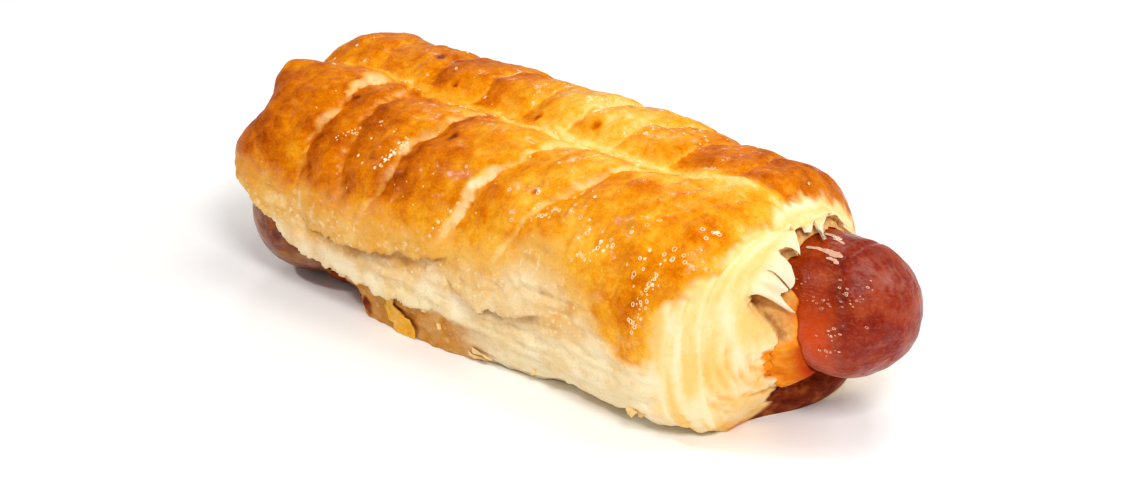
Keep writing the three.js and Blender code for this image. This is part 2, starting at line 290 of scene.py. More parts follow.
def cloud(x, angle, size_x, size_round, octaves, seed):
    """Soft random relief, about -1 to 1, with lumps of the given sizes in mm."""
    across, around = np.broadcast_arrays(x / size_x, angle * ARC / size_round)
    spots = zip(across.ravel(), around.ravel())
    heights = [noise.fractal((a, b, seed), 1, 2, octaves) for a, b in spots]
    return np.array(heights).reshape(across.shape)


def ripple(value, size, octaves, seed):
    """Soft random relief along one line only."""
    return cloud(value, 0 * value, size, 1, octaves, seed)


def cloud_at(points, sizes, octaves, seed):
    """Soft random relief at points in space, about -1 to 1; the sizes are along X, Y and Z."""
    spots = (points / np.array(sizes) + seed).reshape(-1, 3)
    heights = [noise.fractal(spot, 1, 2, octaves) for spot in spots.tolist()]
    return np.array(heights).reshape(points.shape[:-1])


# ---- the crust's surface ----

def section_radius(along, angle):
    up = cos(angle)
    out = np.abs(sin(angle))
    crown = np.where(angle > 0, ROLL.far_crown * (1 - along ** 2) * out, 0)
    reach = np.where(up > 0, ROLL.top_reach + crown, ROLL.bottom_reach)
    power = ROLL.squareness
    total = (np.abs(up) / reach) ** power + (out / ROLL.half_width) ** power
    return total ** (-1 / power)


def from_seam(x, angle):
    """Degrees from the seam's wandering line."""
    wander = SEAM_FOLDS.wander * ripple(x, SEAM_FOLDS.wander_size, 3, seed=23)
    return angle - ROLL.seam_angle - wander


def seam(along, angle):
    opened = 1 - smooth(*ROLL.seam_closes, along * ROLL.half_length)
    depth = ROLL.seam_depth * mix(ROLL.seam_left, 1, opened)
    return depth * bell(from_seam(along * ROLL.half_length, angle), ROLL.seam_spread)


def past_cut(lobe, cut, x, angle):
    """How far beyond a cut a point lies along X; the cut wanders a little."""
    wander = CUT.wander * ripple(angle, CUT.wander_size, 3, seed=cut[0])
    return x - cut[0] - cut[1] * (angle - lobe.at) - wander


def scoring(lobe, x, angle):
    """Depth of the cuts on one lobe: a thin raised rim, a steep drop and a long swell."""
    depth = 0
    for cut in lobe.cuts:
        past = past_cut(lobe, cut, x, angle)
        fall = np.exp(np.minimum(past, 0) / lobe.before - np.maximum(past, 0) / lobe.after)
        rim = lobe.rim * bell(past - CUT.rim_at, CUT.rim_spread)
        uneven = 1 + CUT.uneven * ripple(angle, CUT.uneven_size, 2, seed=cut[0] + 5)
        depth = depth + uneven * (lobe.depth * fall - rim)
    return window(*lobe.fade, angle) * depth


def ledge_above(ledge, x, angle):
    """Degrees above a ledge's ragged edge, and how strong the ledge is at this x."""
    start, end, angles, _ = ledge
    share = progress(start, end, x)
    wobble = LEDGE.wobble * ripple(x, LEDGE.wobble_size, 3, seed=start)
    return angle - through_three(angles, share) - wobble, np.sqrt(np.sin(np.pi * share))


def ledge_relief(ledge, x, angle):
    """How far a ledge lifts the surface, and how many degrees its edge hangs down."""
    above, strength = ledge_above(ledge, x, angle)
    fade = np.exp(-np.abs(above) / LEDGE.reach)
    lift = ledge[3] * strength * np.tanh(above / LEDGE.edge) * fade
    hang = LEDGE.hang * strength * bell(above - LEDGE.edge, LEDGE.hang_width) * (above > 0)
    return lift, hang


def undercut(x, angle):
    """Depth of the undercut, and how far a point is below the wall's ragged edge, 0 to 1."""
    share = progress(UNDERCUT.start, UNDERCUT.end, x)
    wobble = UNDERCUT.wobble * ripple(x, UNDERCUT.wobble_size, 3, seed=7)
    edge = through_three(UNDERCUT.angles, share) + wobble
    lip = 1 - smooth(edge - UNDERCUT.lip_softness, edge, angle)
    inside = lip * smooth(0, UNDERCUT.fade_share, 1 - share) * (angle < 0)
    inside = inside * smooth(*UNDERCUT.last_angles, angle)
    below = progress(edge, UNDERCUT.foot_angle, angle)
    shallow = mix(UNDERCUT.depth_along, UNDERCUT.foot_depth, below)
    return mix(UNDERCUT.depth, shallow, smooth(*UNDERCUT.shallow, x)) * inside, inside


def foot_reach(x, angle):
    share = progress(FOOT.start, FOOT.end, x)
    swell = np.clip(np.sin(np.pi * share ** FOOT.skew), 0, 1) ** FOOT.fullness
    return FOOT.reach * swell * bell(angle - FOOT.angle, FOOT.spread)


def hem(x, angle):
    ragged = 1 + HEM.ragged * ripple(x, HEM.size, 3, seed=29)
    return HEM.depth * window(*HEM.window, x) * ragged * bell(angle - HEM.angle, HEM.spread)


def unevenness(x, angle):
    return sum(
        height * np.sin(x / per_radian + waves * np.radians(angle) + start)
        for height, per_radian, waves, start in WAVES
    )


def end_reach(along, angle):
    """How far an end's outline reaches past the half length."""
    base = bell(apart(angle, ENDS.base_reach_angle), ENDS.base_reach_spread)
    set_back = BASE_SETBACK.depth * bell(apart(angle, BASE_SETBACK.angle), BASE_SETBACK.spread)
    right = ENDS.base_reach * base - ENDS.near_slant * np.maximum(0, -sin(angle)) - set_back
    dent = ENDS.left_dent * bell(angle - ENDS.left_dent_angle, ENDS.left_dent_spread)
    peak = ENDS.peak_reach * bell(angle - ENDS.peak_angle, ENDS.peak_spread)
    return np.where(along > 0, right, ENDS.left_reach + peak - dent)


def end_taper(along, angle):
    share = progress(ROLL.taper_from, 1, np.abs(along))
    under = smooth(*ROLL.base_from, np.abs(angle))
    peak = ENDS.peak_hold * bell(angle - ENDS.peak_angle, ENDS.peak_spread) * (along < 0)
    far = bell(angle - ENDS.far_angle, ENDS.far_spread) * (along > 0)
    taper = mix(ROLL.taper * (1 - peak), ROLL.far_taper, far)
    return np.sqrt(1 - mix(taper, ROLL.base_taper, under) * share ** 2)


def glazed(x, angle):
    """1 where the roll was brushed with egg and browned, 0 on the pale dough low down."""
    lifts = sum(degrees * bell(x - middle, spread) for middle, spread, degrees in GLAZE.lifts)
    soft = mix(1, GLAZE.sharper, smooth(*GLAZE.sharper_from, x))
    start, full = (GLAZE.near_edge + lifts + side * soft for side in GLAZE.soft)
    fray = GLAZE.fray * cloud(x, angle, *GLAZE.sizes, 3, seed=21)
    return window(start, full, *GLAZE.far_edge, angle + fray)


def blisters(x, angle):
    return sum(
        bell(np.hypot(x - spot_x, ARC * apart(angle, spot_angle)), radius)
        for spot_x, spot_angle, radius in BLISTERS
    )


def seam_rim(x, angle):
    """Relief of the fold that runs along the seam, and how near a point is to its rim."""
    strength = window(*SEAM_RIM.window, x)
    past = from_seam(x, angle) - SEAM_RIM.angle
    fall = -0.5 * np.tanh(past / SEAM_RIM.edge) * np.exp(-np.abs(past) / SEAM_RIM.reach)
    uneven = 1 + SEAM_RIM.uneven * ripple(x, SEAM_RIM.size, 2, seed=35)
    rim = bell(past + SEAM_RIM.width, SEAM_RIM.width) * strength * uneven
    return strength * SEAM_RIM.step * fall + SEAM_RIM.height * rim, rim


def lumps(layers, x, angle):
    return sum(
        height * cloud(x, angle, size_x, size_round, octaves, seed=size_x)
        for height, size_x, size_round, octaves in layers
    )


def fine_relief(x, angle):
    crust = lumps(CRUST_RELIEF, x - LEAN * angle, angle)
    relief = mix(lumps(DOUGH_RELIEF, x, angle), crust, glazed(x, angle))
    fold = cloud(x, angle, SEAM_FOLDS.size, SEAM_FOLDS.size_round, 2, seed=25)
    filled = SEAM_FOLDS.fill + SEAM_FOLDS.height * fold
    relief = relief + filled * bell(from_seam(x, angle), SEAM_FOLDS.spread)
    relief = relief + seam_rim(x, angle)[0] - BLISTER_DEPTH * blisters(x, angle)
    rough = BURST.height * cloud(x, angle, BURST.size, BURST.size, 2, seed=27)
    return relief + rough * patch(BURST, x, angle)


def outer_points(along, angle, roughness=1):
    """Points of the outer surface, in mm, one for each value of along (-1 to 1) and angle."""
    x = along * ROLL.half_length + np.sign(along) * end_reach(along, angle) * along ** 4
    radius = section_radius(along, angle) - seam(along, angle) + unevenness(x, angle)
    radius = radius - scoring(NEAR_CUTS, x, angle) - scoring(FAR_CUTS, x, angle)
    turned = angle
    for ledge in LEDGES:
        lift, hang = ledge_relief(ledge, x, angle)
        radius = radius + lift
        turned = turned - hang
    radius = radius + foot_reach(x, angle) - undercut(x, angle)[0] - hem(x, angle)
    radius = (radius + roughness * fine_relief(x, angle)) * end_taper(along, angle)
    y = radius * sin(turned) + ROLL.bow * along ** 2
    z = ROLL.axis_height + radius * cos(turned)
    return stacked(x, y, np.maximum(0, z))


# ---- the sausage's centre line ----

LEVEL_POINT = np.array((
    (SAUSAGE.left_tip[0] + SAUSAGE.right_tip[0]) / 2, SAUSAGE.right_tip[1], SAUSAGE.right_tip[2],
))


def centre(share):
    """Points of the centre line: share 0 is the left tip, 1 the right tip."""
    share = np.asarray(share, float)[..., None]
    ahead = mix(LEVEL_POINT, SAUSAGE.right_tip, share)
    return mix(mix(SAUSAGE.left_tip, LEVEL_POINT, share), ahead, share)


def share_at(x):
    return (x - SAUSAGE.left_tip[0]) / (SAUSAGE.right_tip[0] - SAUSAGE.left_tip[0])


def heading(share):
    """The centre line's direction."""
    return unit(centre(share + 0.001) - centre(share - 0.001))


def off_centre(points):
    """How far points are from the centre line, in mm."""
    share = share_at(points[..., 0])
    return np.linalg.norm(np.cross(points - centre(share), heading(share)), axis=-1)


def round_points(share, angle, radius):
    """Points off the centre line, square to it."""
    share, angle, radius = np.broadcast_arrays(share, angle, radius)
    ahead = heading(share)
    across = unit(np.cross((0, 0, 1), ahead))
    upward = np.cross(ahead, across)
    aside = (radius * sin(angle))[..., None] * across
    return centre(share) + aside + (radius * cos(angle))[..., None] * upward


# ---- meshes ----

def skin(start, rings, end):
    """A closed surface over rings of points, in order along +X, with a point at each end."""
    count, columns, _ = rings.shape
    vertices = np.vstack([rings.reshape(-1, 3), start, end])
    here = np.arange((count - 1) * columns).reshape(count - 1, columns)
    beside = np.roll(here, -1, axis=1)
    quads = np.stack([here, here + columns, beside + columns, beside], axis=-1)
    first = np.arange(columns)
    last = first + (count - 1) * columns
    start_cap = [(count * columns, j, k) for j, k in zip(first, np.roll(first, -1))]
    end_cap = [(count * columns + 1, k, j) for j, k in zip(last, np.roll(last, -1))]
    return vertices, quads.reshape(-1, 4).tolist() + start_cap + end_cap


def add_object(name, data):
    thing = bpy.data.objects.new(name, data)
    bpy.context.scene.collection.objects.link(thing)
    return thing


def new_object(name, vertices, faces, masks=None):
    """A smooth mesh object from points in mm, with a value at each point for each mask."""
    mesh = bpy.data.meshes.new(name)
    mesh.from_pydata((vertices * MM).tolist(), [], faces)
    for mask, values in (masks or {}).items():
        attribute = mesh.attributes.new(mask, "FLOAT", "POINT")
        attribute.data.foreach_set("value", np.asarray(values, np.float32).ravel())
    mesh.shade_smooth()
    return add_object(name, mesh)


def cut_away(thing, tool):
    """Cuts one closed mesh out of another and drops the tool."""
    cut = thing.modifiers.new("cut", "BOOLEAN")
    cut.object = tool
    cut.operation = "DIFFERENCE"
    cut.solver = "MANIFOLD"
    shaped = thing.evaluated_get(bpy.context.evaluated_depsgraph_get())
    mesh = bpy.data.meshes.new_from_object(shaped)
    thing.modifiers.clear()
    thing.data = mesh
    bpy.data.objects.remove(tool)


# ---- the pastry ----

MASKS = ("glaze", "toast", "torn", "gap", "gold", "juice", "soak", "raw", "fibre", "gloss")

# The pale split at a cut, in mm: how ragged, uneven and crumbled it is, its least width and its
# edges, how it narrows along the cut, how strong a very thin one is and the width that is fully
# pale, and how far the dark crust beyond it, browned and painted with shade, reaches.
SPLIT = Sizes(ragged=0.5, ragged_size=2, level=0.8, uneven=0.9, uneven_size=7, crumbled=0.4,
              crumb_size=2.2, least=0.1, start=-0.5, inner=-0.3, edge=0.35, early=0.35, late=1.5,
              faintest=0.25, full_width=1.2, dark_reach=1.8)


def cut_marks(lobe, x, angle):
    """Pale splits in the crust, and the darker crust just beyond each: browning and painted
    shade.
    """
    pale, dark = 0, 0
    outward = progress(lobe.seamward, lobe.outward, angle)
    for cut in lobe.cuts:
        at, _, near_seam, far_off, darkness = cut
        ragged = cloud(x, angle, SPLIT.ragged_size, SPLIT.ragged_size, 2, seed=at)
        past = past_cut(lobe, cut, x, angle) + SPLIT.ragged * ragged
        uneven = SPLIT.level + SPLIT.uneven * ripple(angle, SPLIT.uneven_size, 2, seed=at + 3)
        narrowing = outward ** (SPLIT.early if near_seam > far_off else SPLIT.late)
        width = np.maximum(mix(near_seam, far_off, narrowing) * uneven, SPLIT.least)
        band = window(SPLIT.start - width, SPLIT.inner * width, 0, SPLIT.edge, past)
        crumbs = cloud(x, angle, SPLIT.crumb_size, SPLIT.crumb_size, 2, seed=at + 9)
        strength = mix(SPLIT.faintest, 1, np.minimum(width / SPLIT.full_width, 1))
        pale = pale + band * (SPLIT.level + SPLIT.crumbled * crumbs) * strength
        beyond = np.maximum(past, 0) / SPLIT.dark_reach
        dark = dark + darkness * beyond * np.exp(1 - beyond)
    on_lobe = window(*lobe.fade, angle)
    return np.clip(pale, 0, 1) * on_lobe, dark * on_lobe


# Where the crust stops at the right end, further back on the near side and just beside the top.
CRUST_END = Sizes(x=60.2, near_back=6.4, near=(-48, -82), top_back=1.4, top=12, top_spread=14,
                  fray=1.6, soft=(-1.2, 1.6))


def torn_from(angle):
    """Where the crust stops and the open layers of the right end begin, in x."""
    near = CRUST_END.near_back * smooth(*CRUST_END.near, angle)
    top = CRUST_END.top_back * bell(angle - CRUST_END.top, CRUST_END.top_spread)
    return CRUST_END.x - near - top


def hump(middle, spread):
    """A zone that is 1 at the middle and fades over the spread."""
    return lambda value: bell(value - middle, spread)


def rise(start, end):
    """A zone that is 0 at start and 1 from end on."""
    return lambda value: smooth(start, end, value)


def anywhere(value):
    return 1


# Where the crust is browner (or paler, below 0): (amount, zone along X, zone round the roll). The
# zone round x = -30 is painted shade, and the paler crust from the middle on is painted light.
TONES = [
    (0.12, anywhere, hump(-50, 24)), (0.06, anywhere, hump(40, 26)),
    (0.22, rise(-36, -56), hump(-40, 60)), (0.10, hump(-30, 10), anywhere),
    (-0.20, rise(-12, 14), anywhere), (0.10, rise(32, 44), hump(-76, 30)),
    (0.34, rise(22, 40), rise(0, 14)), (0.12, hump(40, 14), hump(-28, 14)),
    (-0.20, hump(6, 13), rise(6, 18)),
]
TONE_LEVEL = 0.44
# The same, with X measured from where the crust of the right end stops.
END_TONES = [
    (0.20, hump(-6, 3), hump(-80, 18)), (-0.12, rise(-2, 0), rise(-30, -50)),
    (0.16, hump(-5, 3.5), hump(-25, 34)),
]


def browning_and_shade(x, angle, glaze, pale, dark):
    """How far the crust is browned, 0 to 1, with painted shade in part: a level, and what adds to
    it.
    """
    from_end = x - torn_from(angle)
    zones = [(amount, across(x) * around(angle)) for amount, across, around in TONES]
    zones += [(amount, across(from_end) * around(angle)) for amount, across, around in END_TONES]
    folds = bell(from_seam(x, angle) - 2, 5) * (1 + 0.8 * cloud(x, angle, 4, 1.5, 2, seed=43))
    # The dark crust beyond each cut is browner and also carries painted shade.
    zones += [
        (0.15, cloud(x, angle, 7, 6, 3, seed=41)),
        (0.10, lumps(CRUST_RELIEF, x - LEAN * angle, angle)), (0.28, dark), (-0.45, pale),
        (-0.28, folds), (-0.22, seam_rim(x, angle)[1]), (0.6, blisters(x, angle)),
        (-0.16, 1 - glaze),
    ]
    return TONE_LEVEL + sum(amount * zone for amount, zone in zones)


def under_ledges(x, angle):
    """How near a point is below the ledges' edges, where painted shade darkens the dough."""
    gap = 0
    for ledge in LEDGES:
        above, strength = ledge_above(ledge, x, angle)
        fade = np.exp(np.minimum(above, 0) / LEDGE.shade_reach)
        gap = gap + strength * (above < LEDGE.shade_from) * fade
    return gap


# Low on the near side: an orange strip where juice ran, and the line above which the pale dough
# turns golden, lower and ragged on the left.
STRIP = Sizes(angles=(-108, -114), window=(-31, -26, -2, 14), gap=0.5)
GOLD = Sizes(angles=(-104, -80), lower=6, lower_from=(10, -20), ragged=10, sizes=(9, 5))


def crust_masks(x, angle):
    """The surface's zones at each point, 0 to 1."""
    glaze = glazed(x, angle)
    near_pale, near_dark = cut_marks(NEAR_CUTS, x, angle)
    far_pale, far_dark = cut_marks(FAR_CUTS, x, angle)
    past_end = x + CRUST_END.fray * cloud(x, angle, 3, 3, 3, seed=31) - torn_from(angle)
    soft = 0.8 + 0.3 * smooth(-40, -60, angle)
    torn = smooth(*(edge * soft for edge in CRUST_END.soft), past_end)
    strip = smooth(*STRIP.angles, angle) * window(*STRIP.window, x)
    lower = GOLD.lower * smooth(*GOLD.lower_from, x)
    lower = lower + GOLD.ragged * cloud(x, angle, *GOLD.sizes, 2, seed=53)
    golden = smooth(*GOLD.angles, angle + lower) * (1 - 0.8 * patch(BURST, x, angle))
    burnt = np.minimum(BURN.strength * patch(BURN, x, angle), 1)
    return {
        "glaze": glaze * (1 - torn) * (1 - 0.75 * near_pale - 0.5 * far_pale),
        "toast": browning_and_shade(x, angle, glaze, near_pale + far_pale, near_dark + far_dark),
        "torn": torn,
        # gap: painted shade below the ledges, and a darker tone on the orange strip.
        "gap": np.minimum(np.maximum(under_ledges(x, angle), STRIP.gap * strip), 1),
        "gold": np.maximum(golden * (1 - near_pale), strip),
        # The hollow under the wall is painted dark as shade; the burnt speck is the dough's own.
        "soak": np.maximum(undercut(x, angle)[1], burnt),
        "fibre": 0.5 + 0.7 * cloud(x, angle, 1.5, 12, 3, seed=79),
        "gloss": 1 - 0.8 * smooth(-16, -44, x) * smooth(10, 0, angle),
    }


def pastry_angles():
    even = np.linspace(-180, 180, GRID.around, endpoint=False)
    angle = even - GRID.crowding * np.degrees(sin(even - GRID.crowded_angle))
    return np.where(angle > 180, angle - 360, angle)


def far_share(angle):
    return bell(apart(angle, ENDS.far_angle), ENDS.far_spread)


def raggedness(angle):
    """How far the torn edge at the right end reaches past its even line, in mm."""
    reach = ENDS.ragged * ripple(angle, ENDS.ragged_size, 3, seed=61)
    for count, depth, start in ENDS.tatters:
        reach = reach + depth * np.sin(count * np.radians(angle) + start)
    return reach + sum(nick * bell(apart(angle, at), spread) for at, spread, nick in EDGE_NICKS)


def lip_radius(angle):
    return SAUSAGE.radius + mix(ENDS.lip, ENDS.far_lip, far_share(angle))


def edge_points(angle, radius, beyond):
    """The even line of the torn edge at the right end, or a place beyond it along X."""
    forward = mix(ENDS.forward, ENDS.far_forward, far_share(angle))
    x = ROLL.half_length + end_reach(np.ones(1), angle) + forward + beyond
    return round_points(share_at(x), angle, radius)


def face_points(side, angle, towards, share):
    """A torn end's bulging face: share 0 is its rim, 1 the given points."""
    roughness = 1 - smooth(0, 0.3, share)
    rim = outer_points(np.array([float(side)]), angle, roughness)
    points = mix(rim, towards, share)
    points[..., 0] = mix(rim[..., 0], towards[..., 0], 1 - (1 - share) ** ENDS.dome)
    return points


def layer_wave(angle, share):
    """A lopsided wave over the open layers, -1 to 1: steep at each layer's edge."""
    wander = LAYERS.wander * cloud(angle * ARC, share, LAYERS.wander_size, 1, 2, seed=71)
    phase = 2 * np.pi * (share * LAYERS.count + wander)
    return np.sin(phase + LAYERS.skew * np.sin(phase))


def layer_gaps(angle, share):
    """Depth of the gaps between the open layers, in mm, and how near the closest is, 0 to 1."""
    warp = GAP.warp * cloud(angle * ARC, 10 * share, GAP.warp_size, GAP.warp_size, 2, seed=75)
    depth, closeness = 0, 0
    along = np.linspace(0, 1, GAP.steps)
    fading = np.sqrt(np.sin(np.pi * np.linspace(0.03, 0.97, GAP.steps)))
    for *places, deep, half_width in GAPS:
        line = through_three(np.array(places)[:, :, None], along)
        across = warp[:, None] + np.hypot(
            GAP.round * apart(angle[:, None], line[0]), GAP.inward * (share - line[1]),
        )
        depth = depth + deep * (fading * bell(across, half_width)).max(axis=1)
        near = fading * np.exp(-np.abs(across) / (GAP.soft * half_width))
        closeness = np.maximum(closeness, near.max(axis=1))
    return depth, closeness


def fibre(angle, share):
    """The tone of the open layers' fibres, 0 to 1."""
    return 0.5 + 0.5 * cloud(angle * ARC, share * 10, *LAYERS.fibre_sizes, 3, seed=79)


def streaks(angle, share):
    """Fine streaks that run round the roll over the open layers."""
    return cloud(angle * ARC, share / ARC, *LAYERS.streak_sizes, 2, seed=77)


def horns(angle, share):
    """What the torn horns add at a share of the face: mm along X, degrees and mm inwards."""
    reach, swing, closer, weights = 0, 0, 0, 0
    for middle, half, length, degrees, drop_by, power in HORNS:
        weight = np.clip(1 - np.abs(apart(angle, middle)) / half, 0, 1) ** HORN.sharpness
        weight = weight * share ** power
        ragged = HORN.ragged * ripple(angle * ARC, HORN.ragged_size, 2, seed=middle)
        reach = reach + length * weight * (1 + ragged)
        swing = swing + degrees * weight
        closer = closer + drop_by * weight
        weights = weights + weight
    return reach, swing, closer, np.minimum(HORN.raw * weights, 1)


def turned_round(points, swing, closer):
    """Points turned round the sausage by some degrees and moved closer to it by some mm."""
    middle = centre(share_at(points[:, 0]))[:, 1:]
    off = points[:, 1:] - middle
    radius = np.linalg.norm(off, axis=1)
    angle = np.degrees(np.arctan2(off[:, 0], off[:, 1])) + swing
    off = (radius - closer)[:, None] * np.stack([sin(angle), cos(angle)], axis=1)
    return np.column_stack([points[:, 0], middle + off])


# Zones of the open layers, as (from, to) in degrees, shares of the face or mm over the table:
# juice near the torn edge, soaked dough underneath painted dark with shade, and a dark, juicy
# fringe on the table.
OPEN = Sizes(
    fray=0.05, fray_height=20, stain=(-140, -132, -110, -98), stain_shares=(0.82, 0.93),
    fringe=(-127, -138), fringe_heights=(1.8, 0.8), low=(-126, -138), low_heights=(6, 3),
    under=(-152, -162), near=(-145, -153), near_shares=(0.46, 0.62),
    far_spread=46, far_shares=(0.20, 0.42), bottom=0.4, bottom_spread=32,
)


def layer_masks(angle, share, height, gap, streak):
    """Zones of the open layers on one ring."""
    frayed = share + OPEN.fray * cloud(angle * ARC, 10 * share, 3, 3, 3, seed=73)
    height = height + OPEN.fray_height * (frayed - share)
    stain = window(*OPEN.stain, angle) * smooth(*OPEN.stain_shares, frayed)
    fringe = smooth(*OPEN.fringe, angle) * smooth(*OPEN.fringe_heights, height)
    low = smooth(*OPEN.low, angle) * smooth(*OPEN.low_heights, height)
    near = smooth(*OPEN.near, angle) * smooth(*OPEN.near_shares, frayed)
    inwards = frayed + OPEN.bottom * bell(180 - angle, OPEN.bottom_spread)
    far = bell(180 - angle, OPEN.far_spread) * smooth(*OPEN.far_shares, inwards) * (angle > 0)
    # The gap colour darkens the gaps and the streaks' troughs as painted shade, and also tints
    # the face low down near the table.
    gap = 0.9 * gap ** 1.5 + 0.55 * low + 0.10 * smooth(0.1, -0.5, streak)
    return {
        "toast": 0.4, "torn": 1, "gap": np.minimum(gap, 1), "fibre": fibre(angle, share),
        "juice": np.maximum(stain, 0.6 * fringe), "soak": near + far + smooth(*OPEN.under, angle),
    }


def right_face(angle):
    """Rings and masks over the open layers, from the rim in to the ragged edge."""
    edge = edge_points(angle, lip_radius(angle), 0)
    ragged = raggedness(angle)
    deep = bell(apart(angle, LAYERS.deep_angle), LAYERS.deep_spread)
    rings, masks = [], []
    for i in range(1, GRID.face + 1):
        share = 1 - (1 - i / GRID.face) ** GRID.face_crowding
        ring = face_points(1, angle, edge, share)
        forward, aside = (
            smooth(*CRUMBLE.shares, share)
            * cloud(angle * ARC, share * CRUMBLE.depth, CRUMBLE.size, CRUMBLE.size, 3, seed)
            for seed in (63, 65)
        )
        reach, swing, closer, raw = horns(angle, share)
        ring[..., 0] += ragged * share ** CRUMBLE.power + CRUMBLE.height * forward + reach
        ring[..., 1:] *= (1 + CRUMBLE.sideways * aside)[:, None]
        ring = turned_round(ring, swing, closer)
        streak = streaks(angle, share)
        relief = LAYERS.depth * layer_wave(angle, share) + LAYERS.streak_depth * streak
        grown = math.sin(math.pi / 2 * min(share / LAYERS.full_at, 1))
        fade = grown * (1 - LAYERS.edge_fade * share ** 6)
        gap_depth, gap = layer_gaps(angle, share)
        ring[..., 0] += fade * deep * relief - gap_depth
        rings.append(ring)
        masks.append({"raw": raw, **layer_masks(angle, share, ring[..., 2], gap, streak)})
    return rings, masks


def sleeve_rings(angle):
    """Rings over the inner sheet that runs on along the sausage, ending inside the tunnel."""
    lip = lip_radius(angle)
    outside = SAUSAGE.radius + SAUSAGE.clearance + ENDS.sleeve
    long = window(*SLEEVE.window, angle)
    stepped = 1 - long * smooth(*SLEEVE.slope_starts, angle)
    ragged = raggedness(angle)
    beyond = np.maximum(ragged, 0) * (1 - long) + ENDS.sleeve_least + SLEEVE.reach * long
    beyond = beyond + SLEEVE.ragged * ripple(angle * ARC, SLEEVE.ragged_size, 2, seed=91)
    bulge = SLEEVE.bulge * bell(apart(angle, SLEEVE.bulge_angle), SLEEVE.bulge_spread)
    reach, swing, closer, raw = horns(angle, 1)
    orange = window(*SLEEVE.orange, -angle)
    # amber: the gap colour in the recess by the lip, painted shade over the inner sheet.
    amber = 0.9 * stepped + 0.8 * (1 - stepped) * (1 - orange)
    # Low under the sausage the sheet is soaked, and painted dark with the sausage's shade.
    soaked = smooth(*SLEEVE.soaked, np.abs(angle))
    level = {"toast": 0.5, "torn": 1, "gold": 1, "fibre": 0.5, "soak": soaked}
    rings, masks = [], []
    for i in range(1, SLEEVE.steps + 1):
        share = i / SLEEVE.steps
        height = mix(lip, outside, share * stepped) + bulge * share
        ring = edge_points(angle, height, ragged - SLEEVE.recess * share * stepped)
        ring[..., 0] += reach * (1 - share)
        rings.append(turned_round(ring, swing * (1 - share), closer * (1 - share)))
        masks.append({**level, "gap": amber * share, "juice": orange, "raw": raw * (1 - share)})
    for i in range(1, GRID.sleeve + 2):
        share = min(i / GRID.sleeve, 1)
        bumps = cloud(angle * ARC, 8 * share, *SLEEVE.bump_sizes, 3, seed=95)
        height = mix(lip, outside, mix(share, 1, stepped)) - SLEEVE.thins * share ** 2
        height = height + bulge * (1 - 0.6 * share ** 2)
        if i > GRID.sleeve:
            height = SAUSAGE.radius - ENDS.sleeve
        along = mix(ragged - SLEEVE.recess * stepped, beyond, share)
        height = height + SLEEVE.bumps * (1 - share) * bumps
        rings.append(edge_points(angle, height, along))
        stain = np.maximum(orange, 0.5 * long * share) * mix(1, SLEEVE.red, share ** 2)
        masks.append({**level, "gap": amber * (1 - 0.4 * share), "juice": stain})
    return rings, masks


def left_face(angle, middle):
    """Rings and masks over the left end, from its middle out to the rim."""
    rings, masks = [], []
    for i in range(GRID.left_face - 1, 0, -1):
        share = i / GRID.left_face
        ring = face_points(-1, angle, middle, share)
        layers = cloud_at(ring, LEFT_LAYERS.sizes, 3, seed=81)
        ring[..., 0] -= LEFT_LAYERS.depth * layers * math.sin(math.pi * share) ** 0.5
        rings.append(ring)
        ragged = LEFT_LAYERS.stain_wander * cloud_at(ring, LEFT_LAYERS.stain_sizes, 3, seed=85)
        clear = off_centre(ring) - SAUSAGE.radius + ragged
        browned = window(*LEFT_LAYERS.browned, angle) * smooth(*LEFT_LAYERS.browned_shares, share)
        masks.append({
            "glaze": browned, "toast": 0.75, "torn": 0.7, "fibre": 0.5 - 0.7 * layers,
            "gap": 0.6 * smooth(*LEFT_LAYERS.gaps, layers),
            "juice": 0.6 * smooth(*LEFT_LAYERS.juice, clear),
            "soak": smooth(*LEFT_LAYERS.stain, clear),
        })
    return rings, masks


def wrap_object():
    """The wrap as one closed surface, before the sausage's tunnel is cut through it."""
    angle = pastry_angles()
    left_middle = np.array((-ROLL.half_length - ENDS.left_forward, 0, ROLL.axis_height))
    left_rings, left_masks = left_face(angle, left_middle)
    along = np.linspace(-1, 1, GRID.along)[:, None]
    crust = outer_points(along, angle[None, :])
    crust_values = crust_masks(crust[..., 0], np.broadcast_to(angle, crust.shape[:2]))
    right_rings, right_masks = right_face(angle)
    sleeve, sleeve_masks = sleeve_rings(angle)
    rings = np.concatenate([np.array(left_rings), crust, np.array(right_rings + sleeve)])
    masks = {}
    for name in MASKS:
        before, after = (
            np.array([np.broadcast_to(mask.get(name, 0), angle.shape) for mask in end])
            for end in (left_masks, right_masks + sleeve_masks)
        )
        between = np.broadcast_to(crust_values.get(name, 0), crust.shape[:2])
        rows = np.concatenate([before, between, after])
        masks[name] = np.append(rows.ravel(), (rows[0].mean(), rows[-1].mean()))
    right_middle = centre(share_at(ROLL.half_length + ENDS.forward))
    vertices, faces = skin(left_middle, rings, right_middle)
    return new_object("pastry_wrap", vertices, faces, masks)


# The tunnel's wall: dark with juice, and painted shade where it meets the sausage.
TUNNEL_LEVELS = {"toast": 0.5, "torn": 1, "gap": 0.4, "juice": 1.5}


def tunnel_object():
    angle = turns(GRID.tunnel_around)
    start = share_at(-ROLL.half_length - GRID.overshoot)
    end = share_at(ROLL.half_length + GRID.overshoot)
    shares = np.linspace(start, end, GRID.tunnel)[:, None]
    rings = round_points(shares, angle[None, :], SAUSAGE.radius + SKIN.gap)
    vertices, faces = skin(centre(start), rings, centre(end))
    return new_object("tunnel", vertices, faces)


